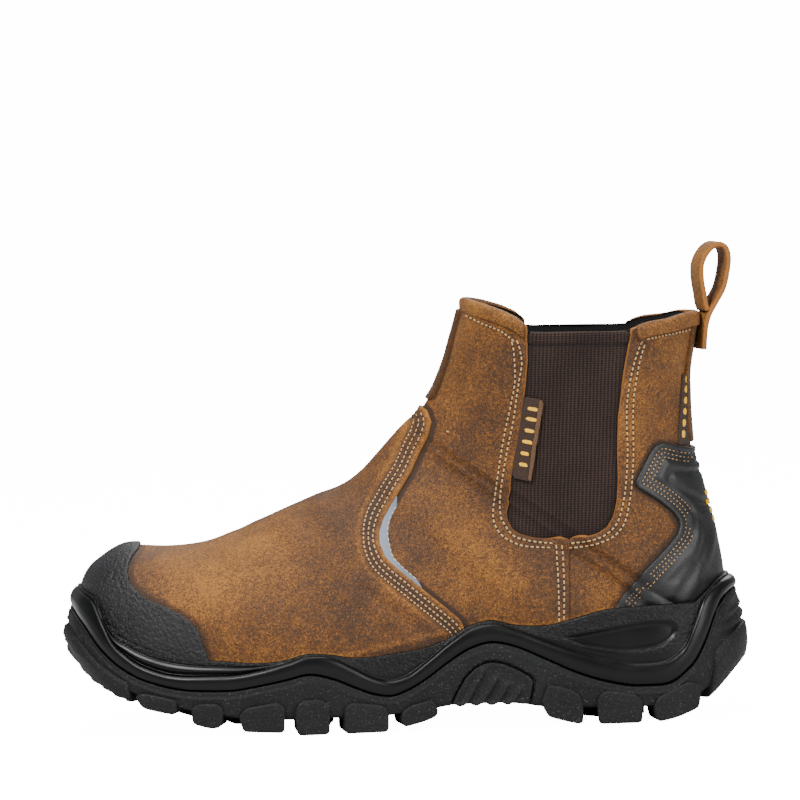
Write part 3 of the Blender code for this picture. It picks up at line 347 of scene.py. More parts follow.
def upperForm(rows, columns):
    run = np.hypot(np.diff(upperRows["topX"]) * length, np.diff(upperRows["topZ"]) * shaftHeight)
    rise = np.hypot(np.diff(upperRows["footX"]) * length, np.diff(upperRows["footZ"]) * shaftHeight)
    knots = np.concatenate([[0], np.cumsum(run + 0.6 * rise)])
    places = knots[-1] * np.linspace(0, 1, rows + 1) ** 1.12
    grid = []
    for place in places:
        grid.append(section({name: smooth(place, knots, upperRows[name]) for name in upperRows}, columns))
    grid = np.array(grid)
    grid[0] = (grid[0] + grid[0][::-1]) / 2
    return grid


def gridNormals(grid):
    down = np.gradient(grid, axis=0)
    across = np.gradient(grid, axis=1)
    normals = np.cross(across, down)
    size = np.linalg.norm(normals, axis=2, keepdims=True)
    normals /= np.maximum(size, 1e-12)
    middle = grid.mean(axis=(0, 1))
    if (normals * (grid - middle)).sum() < 0:
        normals = -normals
    return normals


def insideDistance(x, z, outline):
    # signed distance in metres from a closed side-view outline, more than 0 inside
    outline = np.asarray(outline, float)
    best = np.full(x.shape, 1e9)
    winding = np.zeros(x.shape, bool)
    for (ax, az), (bx, bz) in zip(outline, np.roll(outline, -1, axis=0)):
        dx, dz = bx - ax, bz - az
        span = max(dx * dx + dz * dz, 1e-18)
        t = np.clip(((x - ax) * dx + (z - az) * dz) / span, 0, 1)
        best = np.minimum(best, np.hypot(x - ax - t * dx, z - az - t * dz))
        crosses = (az > z) != (bz > z)
        with np.errstate(divide="ignore", invalid="ignore"):
            winding ^= crosses & (x < ax + (z - az) / (dz if dz else 1e-18) * dx)
    return np.where(winding, best, -best)


def lineDistance(x, z, line):
    best = np.full(x.shape, 1e9)
    line = np.asarray(line, float)
    for (ax, az), (bx, bz) in zip(line[:-1], line[1:]):
        dx, dz = bx - ax, bz - az
        t = np.clip(((x - ax) * dx + (z - az) * dz) / max(dx * dx + dz * dz, 1e-18), 0, 1)
        best = np.minimum(best, np.hypot(x - ax - t * dx, z - az - t * dz))
    return best


def shares(line):
    # side-view shares to metres
    return np.array([(x * length, z * shaftHeight) for x, z in line])


def millimetres(line):
    return np.array(line, float) * mm


def toFrame(points):
    return np.asarray(points, float) - np.array([boot["heelCentre"], 0, 0])


def bump(distance, width):
    return np.exp(-((distance / width) ** 2))


def step(value, low, high):
    t = np.clip((value - low) / (high - low), 0, 1)
    return t * t * (3 - 2 * t)


def addObject(name, data):
    thing = bpy.data.objects.new(name, data)
    bpy.context.scene.collection.objects.link(thing)
    return thing


def finishMesh(mesh, paint, attributes=None):
    mesh.polygons.foreach_set("use_smooth", [True] * len(mesh.polygons))
    for key, values in (attributes or {}).items():
        layer = mesh.attributes.new(key, "FLOAT", "POINT")
        layer.data.foreach_set("value", np.asarray(values, np.float32))
    mesh.materials.append(paint)
    return mesh


def makeObject(name, points, faces, paint, attributes=None):
    mesh = bpy.data.meshes.new(name)
    mesh.from_pydata(toFrame(points).tolist(), [], faces)
    mesh.update()
    return addObject(name, finishMesh(mesh, paint, attributes))


def faceOut(thing):
    work = bmesh.new()
    work.from_mesh(thing.data)
    bmesh.ops.recalc_face_normals(work, faces=work.faces)
    work.to_mesh(thing.data)
    work.free()
    return thing


def finishPiece(thing, slot, *nodes):
    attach(thing, "root")
    if nodes:
        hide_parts(*nodes)
    return thing


def clipGrid(field, layers):
    # keeps the part of a grid where the field is more than 0; layers are arrays to carry along
    rows, columns = field.shape
    inside = field > 0
    index = np.full(field.shape, -1)
    index[inside] = np.arange(inside.sum())
    count = int(inside.sum())
    kept = [[layer[inside]] for layer in layers]
    crossings = []
    for di, dj in ((0, 1), (1, 0)):
        a = field[: rows - di, : columns - dj]
        b = field[di:, dj:]
        where = np.nonzero((a > 0) != (b > 0))
        t = np.clip(a[where] / (a[where] - b[where]), 0.04, 0.96)
        cross = np.full(a.shape, -1)
        cross[where] = count + np.arange(len(t))
        count += len(t)
        for store, layer in zip(kept, layers):
            first = layer[where]
            second = layer[where[0] + di, where[1] + dj]
            store.append(first + (second - first) * (t[:, None] if layer.ndim == 3 else t))
        crossings.append(cross)
    across, down = crossings
    quads = (inside[:-1, :-1], inside[:-1, 1:], inside[1:, 1:], inside[1:, :-1])
    full = np.logical_and.reduce(quads)
    i, j = np.nonzero(full)
    faces = [index[i, j], index[i, j + 1], index[i + 1, j + 1], index[i + 1, j]]
    faces = np.stack(faces, axis=1).tolist()
    some = np.logical_or.reduce(quads) & ~full
    for i, j in zip(*np.nonzero(some)):
        corners = ((i, j), (i, j + 1), (i + 1, j + 1), (i + 1, j))
        edges = (across[i, j], down[i, j + 1], across[i + 1, j], down[i, j])
        face = []
        for k in range(4):
            if inside[corners[k]]:
                face.append(int(index[corners[k]]))
            if inside[corners[k]] != inside[corners[(k + 1) % 4]]:
                face.append(int(edges[k]))
        if len(face) > 2:
            faces.append(face)
    return [np.concatenate(store) for store in kept], faces


def loopsOf(faces):
    edges = {}
    for face in faces:
        for a, b in zip(face, face[1:] + face[:1]):
            edges[(a, b)] = True
    following = {}
    for a, b in edges:
        if (b, a) not in edges:
            following.setdefault(a, []).append(b)
    loops = []
    while following:
        start = next(iter(following))
        loop = [start]
        at = start
        while True:
            choices = following.get(at)
            if not choices:
                break
            step = choices.pop()
            if not choices:
                del following[at]
            if step == start:
                break
            loop.append(step)
            at = step
        if len(loop) > 3:
            loops.append(loop)
    return loops


def panelPiece(name, field, surface, normals, paint, thick, edge, sink, extra=None):
    # A patch of a surface with a rounded rim: the field is the distance inside the outline, in metres.
    # thick lifts the surface, edge is the rim's radius, sink is how far the rim goes down.
    extra = extra or {}
    layers = [surface + normals * thick, normals, field, *extra.values()]
    found, faces = clipGrid(field - edge, layers)
    points, normal, inner = found[:3]
    if not len(points):
        return None
    first, second, last = (np.array([face[k] for face in faces[:400]]) for k in (0, 1, -1))
    corners = points[first]
    facing = (np.cross(points[second] - corners, points[last] - corners) * normal[first]).sum()
    if facing < 0:
        faces = [face[::-1] for face in faces]
    loops = loopsOf(faces)
    points = list(points)
    rim = [np.zeros(len(points))]
    carried = [[values] for values in found[2:]]
    profile = [
        (edge * math.sin(a), -edge * (1 - math.cos(a)), 0.35 * k)
        for k, a in enumerate(np.radians([0, 35, 65, 88]))
    ][1:]
    profile.append((edge * 1.02, -sink, 1.0))
    array = np.array(points)
    for loop in loops:
        at = array[loop]
        up = normal[loop]
        reach = 2 if len(loop) > 12 else 1
        run = np.roll(at, -reach, axis=0) - np.roll(at, reach, axis=0)
        run /= np.maximum(np.linalg.norm(run, axis=1, keepdims=True), 1e-12)
        out = np.cross(run, up)
        out /= np.maximum(np.linalg.norm(out, axis=1, keepdims=True), 1e-12)
        previous = loop
        for outward, down, mark in profile:
            start = len(points)
            points.extend(at + out * outward + up * down)
            rim.append(np.full(len(loop), min(mark, 1.0)))
            for store, values in zip(carried, found[2:]):
                store.append(values[loop])
            ring = list(range(start, start + len(loop)))
            for k in range(len(loop)):
                m = (k + 1) % len(loop)
                faces.append([previous[k], ring[k], ring[m], previous[m]])
            previous = ring
    attributes = {"rim": np.concatenate(rim), "inner": np.concatenate(carried[0])}
    for key, store in zip(extra, carried[1:]):
        attributes[key] = np.concatenate(store)
    return makeObject(name, points, faces, paint, attributes)


def tubeFaces(rings, size):
    # faces of a closed profile carried along a path, with both ends closed
    faces = []
    for k in range(rings - 1):
        for j in range(size):
            n = (j + 1) % size
            faces.append((k * size + j, k * size + n, (k + 1) * size + n, (k + 1) * size + j))
    faces.append(tuple(range(size))[::-1])
    faces.append(tuple(range((rings - 1) * size, rings * size)))
    return faces


def sweepPiece(name, path, outs, ups, profile, paint, marks=None):
    # carries a closed profile of (out, up) offsets along a path
    path, outs, ups = (np.asarray(values, float) for values in (path, outs, ups))
    rings = len(path)
    size = len(profile)
    points = []
    for k in range(rings):
        for out, up in profile:
            points.append(path[k] + outs[k] * out + ups[k] * up)
    faces = tubeFaces(rings, size)
    mark = np.tile(marks if marks is not None else np.zeros(size), rings)
    thing = makeObject(name, points, faces, paint, {"rim": mark, "inner": np.full(len(points), 0.01)})
    return faceOut(thing)


def roundedProfile(width, tall, radius, steps=4):
    corners = []
    for cx, cz, start in (
        (width / 2 - radius, tall / 2 - radius, 0),
        (-width / 2 + radius, tall / 2 - radius, 90),
        (-width / 2 + radius, -tall / 2 + radius, 180),
        (width / 2 - radius, -tall / 2 + radius, 270),
    ):
        for angle in np.radians(np.linspace(start, start + 90, steps)):
            corners.append((cx + radius * math.cos(angle), cz + radius * math.sin(angle)))
    return corners


def newMaterial(name, colour, roughness, specular=0.5):
    made = bpy.data.materials.new(name)
    made.use_nodes = True
    made.diffuse_color = (*colour, 1)
    shader = made.node_tree.nodes["Principled BSDF"]
    shader.inputs["Base Color"].default_value = (*colour, 1)
    shader.inputs["Roughness"].default_value = roughness
    shader.inputs["Specular IOR Level"].default_value = specular
    return made, made.node_tree, shader


def addNode(tree, kind, values=None, **settings):
    made = tree.nodes.new("ShaderNode" + kind)
    for key, value in settings.items():
        setattr(made, key, value)
    for key, value in (values or {}).items():
        if isinstance(value, bpy.types.NodeSocket):
            tree.links.new(value, made.inputs[key])
        else:
            made.inputs[key].default_value = value
    return made


def mathNode(tree, operation, a, b=0.0, clamp=False):
    return addNode(tree, "Math", {0: a, 1: b}, operation=operation, use_clamp=clamp).outputs[0]


def plus(tree, a, b, clamp=False):
    return mathNode(tree, "ADD", a, b, clamp)


def times(tree, a, b, clamp=False):
    return mathNode(tree, "MULTIPLY", a, b, clamp)


def sineOf(tree, value, pitch):
    return mathNode(tree, "SINE", times(tree, value, 2 * math.pi / pitch))


def objectPlace(tree):
    return addNode(tree, "TexCoord").outputs["Object"]


def noise(tree, place, scale, detail=3.0, rough=0.55, distortion=0.0):
    values = {"Vector": place, "Scale": scale, "Detail": detail, "Roughness": rough, "Distortion": distortion}
    return addNode(tree, "TexNoise", values).outputs["Fac"]


def ramp(tree, value, stops):
    made = addNode(tree, "ValToRGB", {"Fac": value})
    while len(made.color_ramp.elements) < len(stops):
        made.color_ramp.elements.new(0.5)
    for element, (at, colour) in zip(made.color_ramp.elements, stops):
        element.position = at
        element.color = (*colour, 1)
    return made.outputs["Color"]


def blend(tree, factor, a, b):
    made = addNode(tree, "Mix", {0: factor}, data_type="RGBA", blend_type="MIX")
    for key, value in ((6, a), (7, b)):
        if isinstance(value, bpy.types.NodeSocket):
            tree.links.new(value, made.inputs[key])
        else:
            made.inputs[key].default_value = (*value, 1)
    return made.outputs[2]


def attributeOf(tree, name):
    return addNode(tree, "Attribute", attribute_name=name).outputs["Fac"]


def bumpNode(tree, height, strength, distance, normal=None):
    made = addNode(tree, "Bump", {"Height": height, "Strength": strength, "Distance": distance})
    if normal is not None:
        tree.links.new(normal, made.inputs["Normal"])
    return made.outputs["Normal"]


def grainGroup():
    # fine nap and long scratches of oiled leather, as one reusable group
    made = bpy.data.node_groups.new("nubuckGrain", "ShaderNodeTree")
    made.interface.new_socket("Vector", in_out="INPUT", socket_type="NodeSocketVector")
    for key in ("Nap", "Patches", "Scratches"):
        made.interface.new_socket(key, in_out="OUTPUT", socket_type="NodeSocketFloat")
    start = made.nodes.new("NodeGroupInput")
    end = made.nodes.new("NodeGroupOutput")
    place = start.outputs["Vector"]
    fine = noise(made, place, 1900, 2, 0.7)
    middle = noise(made, place, 760, 2, 0.6)
    nap = plus(made, times(made, fine, 0.72), times(made, middle, 0.28))
    large = noise(made, place, 16, 4, 0.6, 0.6)
    small = noise(made, place, 75, 5, 0.68, 0.4)
    patches = plus(made, times(made, large, 0.68), times(made, small, 0.32))
    strokes = None
    scratches = ((0.7, (70, 70, 700), 0.70), (-0.5, (60, 60, 620), 0.72), (1.5, (80, 80, 560), 0.73))
    for turn, scale, cut in scratches:
        values = {"Vector": place, "Rotation": (0, turn, 0), "Scale": scale}
        moved = addNode(made, "Mapping", values).outputs[0]
        line = noise(made, moved, 1.0, 1, 0.4, 0.35)
        values = {"Value": line, "From Min": cut, "From Max": cut + 0.07}
        line = addNode(made, "MapRange", values, interpolation_type="SMOOTHSTEP").outputs[0]
        strokes = line if strokes is None else mathNode(made, "MAXIMUM", strokes, line)
    for key, value in (("Nap", nap), ("Patches", patches), ("Scratches", strokes)):
        made.links.new(value, end.inputs[key])
    return made


leatherLook = {
    "deep": (0.021, 0.0076, 0.0010),
    "dark": (0.048, 0.0160, 0.0017),
    "mid": (0.100, 0.0340, 0.0028),
    "light": (0.172, 0.0625, 0.0052),
    "pale": (0.262, 0.108, 0.0125),
    "cut": (0.235, 0.084, 0.0110),
    "roughness": 0.66,
}


def nubuck(name, grain, lift=0.0, cutEdge=1.0):
    look = leatherLook
    made, tree, shader = newMaterial(name, look["mid"], look["roughness"], 0.32)
    group = tree.nodes.new("ShaderNodeGroup")
    group.node_tree = grain
    tree.links.new(objectPlace(tree), group.inputs["Vector"])
    nap, patches, strokes = (group.outputs[k] for k in range(3))
    # the tone attribute holds random patches plus painted shade and highlights beside edges, seams and strips
    tone = attributeOf(tree, "tone")
    value = times(tree, patches, 2.1)
    value = plus(tree, value, -0.63 + lift)
    value = plus(tree, value, times(tree, tone, 1.25))
    speck = times(tree, mathNode(tree, "SUBTRACT", nap, 0.5), 3.4)
    value = plus(tree, value, speck)
    value = plus(tree, value, times(tree, strokes, 0.10))
    stops = ((0.0, "deep"), (0.28, "dark"), (0.52, "mid"), (0.76, "light"), (1.0, "pale"))
    colour = ramp(tree, value, [(at, look[key]) for at, key in stops])
    rim = attributeOf(tree, "rim")
    rim = times(tree, mathNode(tree, "SUBTRACT", rim, 0.30), 2.2 * cutEdge, clamp=True)
    fray = plus(tree, 0.55, times(tree, nap, 0.9))
    edge = blend(tree, fray, (0.08, 0.028, 0.008), look["cut"])
    colour = blend(tree, rim, colour, edge)
    tree.links.new(colour, shader.inputs["Base Color"])
    rough = plus(tree, 0.52, times(tree, patches, 0.34), clamp=True)
    tree.links.new(rough, shader.inputs["Roughness"])
    first = bumpNode(tree, nap, 0.85, 0.0006)
    second = bumpNode(tree, strokes, 0.35, 0.0002, first)
    third = bumpNode(tree, patches, 0.35, 0.0012, second)
    tree.links.new(third, shader.inputs["Normal"])
    shader.inputs["Sheen Weight"].default_value = 0.06
    shader.inputs["Sheen Roughness"].default_value = 0.5
    shader.inputs["Sheen Tint"].default_value = (0.9, 0.65, 0.42, 1)
    return made


def shade(colour, amount):
    return tuple(min(1, c * amount) for c in colour)


def rubber(name, colour, roughness, scale, depth, strength, mask=None, speckles=0.0, shine=0.20):
    made, tree, shader = newMaterial(name, colour, roughness, shine)
    place = objectPlace(tree)
    pebble = addNode(tree, "TexVoronoi", {"Vector": place, "Scale": scale}, feature="SMOOTH_F1")
    fine = noise(tree, place, scale * 1.7, 3, 0.6)
    height = plus(tree, times(tree, pebble.outputs["Distance"], -1.0), fine)
    amount = times(tree, height, attributeOf(tree, mask)) if mask else height
    normal = bumpNode(tree, amount, strength, depth)
    dust = noise(tree, place, 38, 4, 0.6)
    surface = ramp(tree, dust, [(0.3, shade(colour, 0.75)), (0.7, shade(colour, 1.45))])
    if speckles:
        spots = noise(tree, place, 1100, 2, 0.5)
        spots = addNode(tree, "MapRange", {"Value": spots, "From Min": 0.60, "From Max": 0.74}).outputs[0]
        surface = blend(tree, times(tree, spots, speckles, clamp=True), surface, (0.06, 0.06, 0.065))
    rim = attributeOf(tree, "rim")
    # slightly lighter on the rounded rims
    paleRim = times(tree, rim, 0.10, clamp=True)
    surface = blend(tree, paleRim, surface, (0.07, 0.07, 0.075))
    tree.links.new(surface, shader.inputs["Base Color"])
    rough = plus(tree, roughness - 0.08, times(tree, dust, 0.2), clamp=True)
    tree.links.new(rough, shader.inputs["Roughness"])
    tree.links.new(normal, shader.inputs["Normal"])
    return made


def elastic(name):
    made, tree, shader = newMaterial(name, (0.045, 0.027, 0.022), 0.9, 0.2)
    place = objectPlace(tree)
    parts = addNode(tree, "SeparateXYZ", {"Vector": place})
    slant = plus(tree, parts.outputs[0], times(tree, parts.outputs[2], -0.06))
    wander = times(tree, noise(tree, place, 90, 2), 0.0010)
    ribs = sineOf(tree, plus(tree, slant, wander), 0.00165)
    rows = sineOf(tree, parts.outputs[2], 0.00105)
    fuzz = noise(tree, place, 1300, 3, 0.7)
    knit = plus(tree, times(tree, ribs, 0.5), times(tree, rows, 0.30))
    knit = plus(tree, knit, times(tree, fuzz, 0.9))
    value = plus(tree, times(tree, knit, 0.34), times(tree, noise(tree, place, 30, 3), 0.5))
    stops = [(0.12, (0.004, 0.002, 0.0015)), (0.40, (0.016, 0.0085, 0.0065)), (0.75, (0.045, 0.026, 0.021))]
    colour = ramp(tree, value, stops)
    rim = attributeOf(tree, "rim")
    colour = blend(tree, times(tree, rim, 0.6, clamp=True), colour, (0.035, 0.020, 0.015))
    # the tone attribute darkens the elastic: painted shade at its edges and a dark line along the hem
    dark = attributeOf(tree, "tone")
    colour = blend(tree, dark, colour, (0.006, 0.005, 0.005))
    tree.links.new(colour, shader.inputs["Base Color"])
    tree.links.new(bumpNode(tree, knit, 0.8, 0.0005), shader.inputs["Normal"])
    shader.inputs["Sheen Weight"].default_value = 0.08
    shader.inputs["Sheen Tint"].default_value = (0.7, 0.5, 0.42, 1)
    return made


def cloth(name, colour, pitch, lighter=1.6):
    made, tree, shader = newMaterial(name, colour, 0.85, 0.25)
    place = objectPlace(tree)
    parts = addNode(tree, "SeparateXYZ", {"Vector": place})
    first = plus(tree, parts.outputs[0], parts.outputs[1])
    weave = times(tree, sineOf(tree, first, pitch), sineOf(tree, parts.outputs[2], pitch))
    fuzz = noise(tree, place, 1400, 3, 0.7)
    height = plus(tree, weave, fuzz)
    stops = [(0.1, shade(colour, 0.55)), (0.8, shade(colour, lighter))]
    colours = ramp(tree, times(tree, height, 0.5), stops)
    tree.links.new(colours, shader.inputs["Base Color"])
    tree.links.new(bumpNode(tree, height, 0.6, 0.0003), shader.inputs["Normal"])
    shader.inputs["Sheen Weight"].default_value = 0.04
    return made


def thread(name, colour):
    made, tree, shader = newMaterial(name, colour, 0.6)
    place = objectPlace(tree)
    fuzz = noise(tree, place, 1800, 2, 0.6)
    tint = ramp(tree, fuzz, [(0.3, shade(colour, 0.62)), (0.65, colour)])
    tree.links.new(tint, shader.inputs["Base Color"])
    tree.links.new(bumpNode(tree, fuzz, 0.5, 0.0002), shader.inputs["Normal"])
    shader.inputs["Sheen Weight"].default_value = 0.2
    return made


upperLook = {"rows": 400, "columns": 250}
form = upperForm(upperLook["rows"], upperLook["columns"])
formNormals = gridNormals(form)
formX, formY, formZ = form[..., 0], form[..., 1], form[..., 2]

# Creases in mm: line in side view, depth, width and which side (-1 outer, 1 inner, 0 both)
creases = [
    ([(96, 84), (104, 76), (112, 66), (118, 56)], 0.45, 4.5, 0),
    ([(114, 92), (124, 80), (132, 66), (136, 54)], 0.55, 5.0, 0),
    ([(84, 84), (90, 74), (96, 62)], 0.30, 4.0, 0),
    ([(150, 100), (146, 92), (141, 86)], 0.5, 3.2, 0),
    ([(137, 63), (146, 56), (156, 49), (163, 43)], 0.55, 2.4, 0),
    ([(176, 112), (186, 98), (193, 84)], 0.40, 6.0, 0),
    ([(236, 76), (246, 66), (254, 58)], 0.40, 6.0, 0),
    ([(208, 72), (214, 60), (216, 50)], 0.35, 6.0, 0),
    ([(262, 120), (268, 130), (276, 138)], 0.45, 6.0, 0),
]
relief = np.zeros(formX.shape)
for line, depth, width, where in creases:
    distance = lineDistance(formX, formZ, millimetres(line))
    share = 1.0 if where == 0 else (np.sign(formY) == where)
    relief -= share * depth * mm * bump(distance, width * mm)
    relief += share * 0.45 * depth * mm * bump(distance - 1.9 * width * mm, width * mm)
skin = form + formNormals * relief[..., None]
skinNormals = gridNormals(skin)
skinX, skinY, skinZ = skin[..., 0], skin[..., 1], skin[..., 2]

# Soft darker and lighter patches: x, z and size in mm, and how much lighter
toneSpots = [
    (60, 70, 26, 0.20), (100, 80, 20, 0.10), (88, 55, 22, 0.05), (128, 62, 22, -0.16), (150, 92, 16, -0.10),
    (120, 88, 18, -0.14), (152, 56, 14, 0.05), (195, 130, 20, -0.16), (200, 100, 18, -0.16),
    (178, 146, 12, 0.14), (200, 62, 20, 0.20), (186, 80, 12, 0.10), (246, 62, 14, 0.12),
    (268, 96, 12, -0.02), (270, 150, 14, -0.06), (262, 132, 10, 0.16), (282, 160, 10, 0.10),
    (160, 50, 12, 0.05), (235, 52, 12, -0.04), (120, 44, 18, 0.04), (180, 170, 12, 0.10),
    (215, 70, 8, -0.08),
]
tone = np.zeros(formX.shape)
for x, z, size, amount in toneSpots:
    tone += amount * np.exp(-((skinX - x * mm) ** 2 + (skinZ - z * mm) ** 2) / (size * mm) ** 2)

treePoints = skin.reshape(-1, 3)
rowCount, columnCount = skinX.shape
corner = np.arange(len(treePoints)).reshape(rowCount, columnCount)
skinQuads = np.stack([corner[:-1, :-1], corner[:-1, 1:], corner[1:, 1:], corner[1:, :-1]], axis=-1)
skinTree = BVHTree.FromPolygons(treePoints.tolist(), skinQuads.reshape(-1, 4).tolist())
nearest = KDTree(len(treePoints))
for k, p in enumerate(treePoints):
    nearest.insert(p, k)
nearest.balance()
flatNormals = skinNormals.reshape(-1, 3)


def onSkin(x, z, sign, lift=0.0):
    # the point of the upper at a side-view place, on the outer (-1) or inner (1) side
    spot = skinTree.ray_cast(Vector((x, sign * 1.0, z)), Vector((0, -sign, 0)))[0]
    if spot is None:
        spot = skinTree.find_nearest(Vector((x, sign * 0.06, z)))[0]
    _, k, _ = nearest.find(spot)
    normal = flatNormals[k]
    return np.array(spot) + normal * lift, normal


def lineOnSkin(line, sign, lift, count):
    flat = roundLine(millimetres(line), count)
    spots = [onSkin(x, z, sign, lift) for x, z in flat]
    return np.array([s[0] for s in spots]), np.array([s[1] for s in spots])


def skinInside(line):
    return insideDistance(skinX, skinZ, line)


def skinFrom(line):
    return lineDistance(skinX, skinZ, millimetres(line))


belowCollar = np.interp(skinX, *shares(collarLine).T) - skinZ
aboveRim = skinZ - (sideLine("rim", skinX) - 0.003)
# Each panel's own edge, closed by corners that lie past the form
goreField = skinInside(shares([(0.684, 1.2), *goreEdge, (0.842, 1.2)]))
vampField = skinInside(shares([(-0.05, 0.95), (0.470, 0.95), *vampEdge[:-1], (0.600, 0.19), (-0.05, 0.0)]))
guardField = skinInside(shares([(-0.05, 0.52), *toeGuardEdge, (0.225, 0.10), (-0.05, 0.0)]))
counterField = skinInside(shares([*counterEdge[:-1], (1.03, 0.632), (1.03, 0.10), (0.74, 0.10)]))
seamX = np.interp(skinZ, [0.046, 0.083, 0.30], [0.2288, 0.2299, 0.2310])
print("forms ready")


soleLook = {"proud": 1.4 * mm, "lugDepth": 0.020}


def lean(toward, heights):
    share = heights / sideHeight
    atSide = smooth(share, leans["z"], leans["side"])
    atToe, atHeel = (smooth(share, leans["z"], leans[end]) for end in ("toe", "heel"))
    atEnd = np.where(toward < 0, atToe, atHeel)
    weight = toward**2
    return (atSide * (1 - weight) + atEnd * weight) * ballWidth


def soleRing(heightOf, sideOffset, endOffset):
    # one level round the sole: points, outward ways and side-view places
    halves = []
    for points, ways in outlines:
        points, ways = points[::2], ways[::2]
        offset = sideOffset + (endOffset - sideOffset) * ways[:, 0] ** 2
        flat = points + ways * np.reshape(offset, (-1, 1))
        for _ in range(3):
            flat = points + ways * (offset + lean(ways[:, 0], heightOf(flat[:, 0])))[:, None]
        halves.append((np.column_stack([flat, heightOf(flat[:, 0])]), ways))
    (a, wa), (b, wb) = halves
    points = np.concatenate([a, b[-2:0:-1]])
    ways = np.concatenate([wa, wb[-2:0:-1]])
    return points, np.column_stack([ways, np.zeros(len(ways))])


def between(low, high, share, lift=0.0):
    return lambda x: sideLine(low, x) + (sideLine(high, x) - sideLine(low, x)) * share + lift


def soleMesh(name, levels, paint, reliefOf, maskOf):
    rings = [soleRing(*level) for level in levels]
    points = np.array([r[0] for r in rings])
    ways = np.array([r[1] for r in rings])
    points = points + ways * reliefOf(points, ways)[..., None]
    rows, around = points.shape[:2]
    index = np.arange(rows * around).reshape(rows, around)
    following = np.roll(index, -1, axis=1)
    faces = np.stack([index[:-1], following[:-1], following[1:], index[1:]], axis=-1)
    faces = faces.reshape(-1, 4).tolist()
    half = around // 2
    for row in (0, rows - 1):
        for k in range(half):
            corners = (k, k + 1, around - k - 1, around - k)
            face = list(dict.fromkeys(int(index[row, at % around]) for at in corners))
            if len(face) > 2:
                faces.append(face)
    flat = points.reshape(-1, 3)
    masks = {key: values.reshape(-1) for key, values in maskOf(points).items()}
    thing = makeObject(name, flat, faces, paint, masks)
    return faceOut(thing)


# Outlines in mm, in side view; bandShape is share of the height and way out
archOutline = millimetres(
    [(174.4, 9.0), (177.7, 16.1), (181.5, 22.7), (186.1, 27.1), (190.6, 29.2), (194, 29.6), (199.6, 28.5),
     (206.2, 25.2), (210.6, 22.4), (212.4, 20.0), (211.4, 15.2), (209.9, 9.0)]
)
leafOutline = roundLine(
    millimetres([(226.8, 39.4), (242.6, 42.1), (260.7, 44.8), (272.5, 45.0), (277.0, 43.0), (276.2, 38.1),
                 (271.6, 34.6), (264.8, 32.6), (251.3, 32.0), (237.9, 34.2), (229.0, 38.0)]), 80, closed=True
)
bandShape = np.array([(0, -2.7), (0.05, -1.7), (0.13, -0.85), (0.28, -0.25), (0.52, 0.0), (0.76, -0.15),
                      (0.90, -0.55), (1.0, -1.25)]).T


def outsoleRelief(points, ways):
    x, z = points[..., 0], points[..., 2]
    found = np.zeros(x.shape)
    arch = insideDistance(x, z, archOutline)
    found -= 2.0 * mm * step(arch, -0.9 * mm, -0.2 * mm)
    heelFacing = step(ways[..., 0], 0.62, 0.80) * step(z, 0.030, 0.034) * (1 - step(z, 0.0545, 0.057))
    slanted = z + 0.25 * abs(points[..., 1])
    found += heelFacing * 0.9 * mm * np.sin(2 * math.pi * slanted / 0.0056)
    toeMark = millimetres([(1, 51.5), (4.6, 50.6), (8.0, 47), (8.2, 42), (6.0, 40.2), (1, 41.0)])
    ring = abs(insideDistance(x, z, toeMark))
    toeFacing = step(-ways[..., 0], 0.55, 0.75)
    found += toeFacing * 0.7 * mm * (bump(ring, 0.7 * mm) - bump(ring - 1.9 * mm, 0.8 * mm))
    return found


def outsoleMask(points):
    x, z = points[..., 0], points[..., 2]
    top = 1 - step(z - (sideLine("groove", x) - 2.9 * mm), -0.4 * mm, 0.2 * mm)
    return {"grain": 0.25 + 0.75 * top, "rim": np.zeros(x.shape)}


def midsoleRelief(points, ways):
    x, z = points[..., 0], points[..., 2]
    leaf = insideDistance(x, z, leafOutline)
    found = -1.5 * mm * step(leaf, -0.5 * mm, 1.8 * mm)
    crest, rim = sideLine("crest", x), sideLine("rim", x)
    above = np.clip((z - crest) / np.maximum(rim - crest, 1e-6), 0, 1)
    wide = step(rim - crest, 0.001, 0.004)
    welt = wide * (1 - step(x, 0.100, 0.118)) * step(x, 0.012, 0.022)
    found -= welt * 0.9 * mm * bump((above - 0.12) / 0.10, 1.0)
    found += welt * 0.7 * mm * bump((above - 0.40) / 0.18, 1.0)
    found -= welt * 0.6 * mm * bump((above - 0.68) / 0.05, 1.0)
    return found


def midsoleMask(points):
    x, z = points[..., 0], points[..., 2]
    crest, rim = sideLine("crest", x), sideLine("rim", x)
    above = (z - crest) / np.maximum(rim - crest, 1e-6)
    leaf = step(insideDistance(x, z, leafOutline), -0.4 * mm, 1.0 * mm)
    toe = 1 - step(x, 0.105, 0.120)
    grain = step(above, 0.16 + 0.50 * toe, 0.26 + 0.50 * toe) * (1 - leaf)
    return {"grain": grain, "rim": np.zeros(x.shape)}


def bandHeight(share):
    # the band keeps clear of the groove at its foot
    band = between("groove", "crest", share)
    return lambda x: np.maximum(band(x), sideLine("groove", x) + 0.9 * mm * (1 - share))


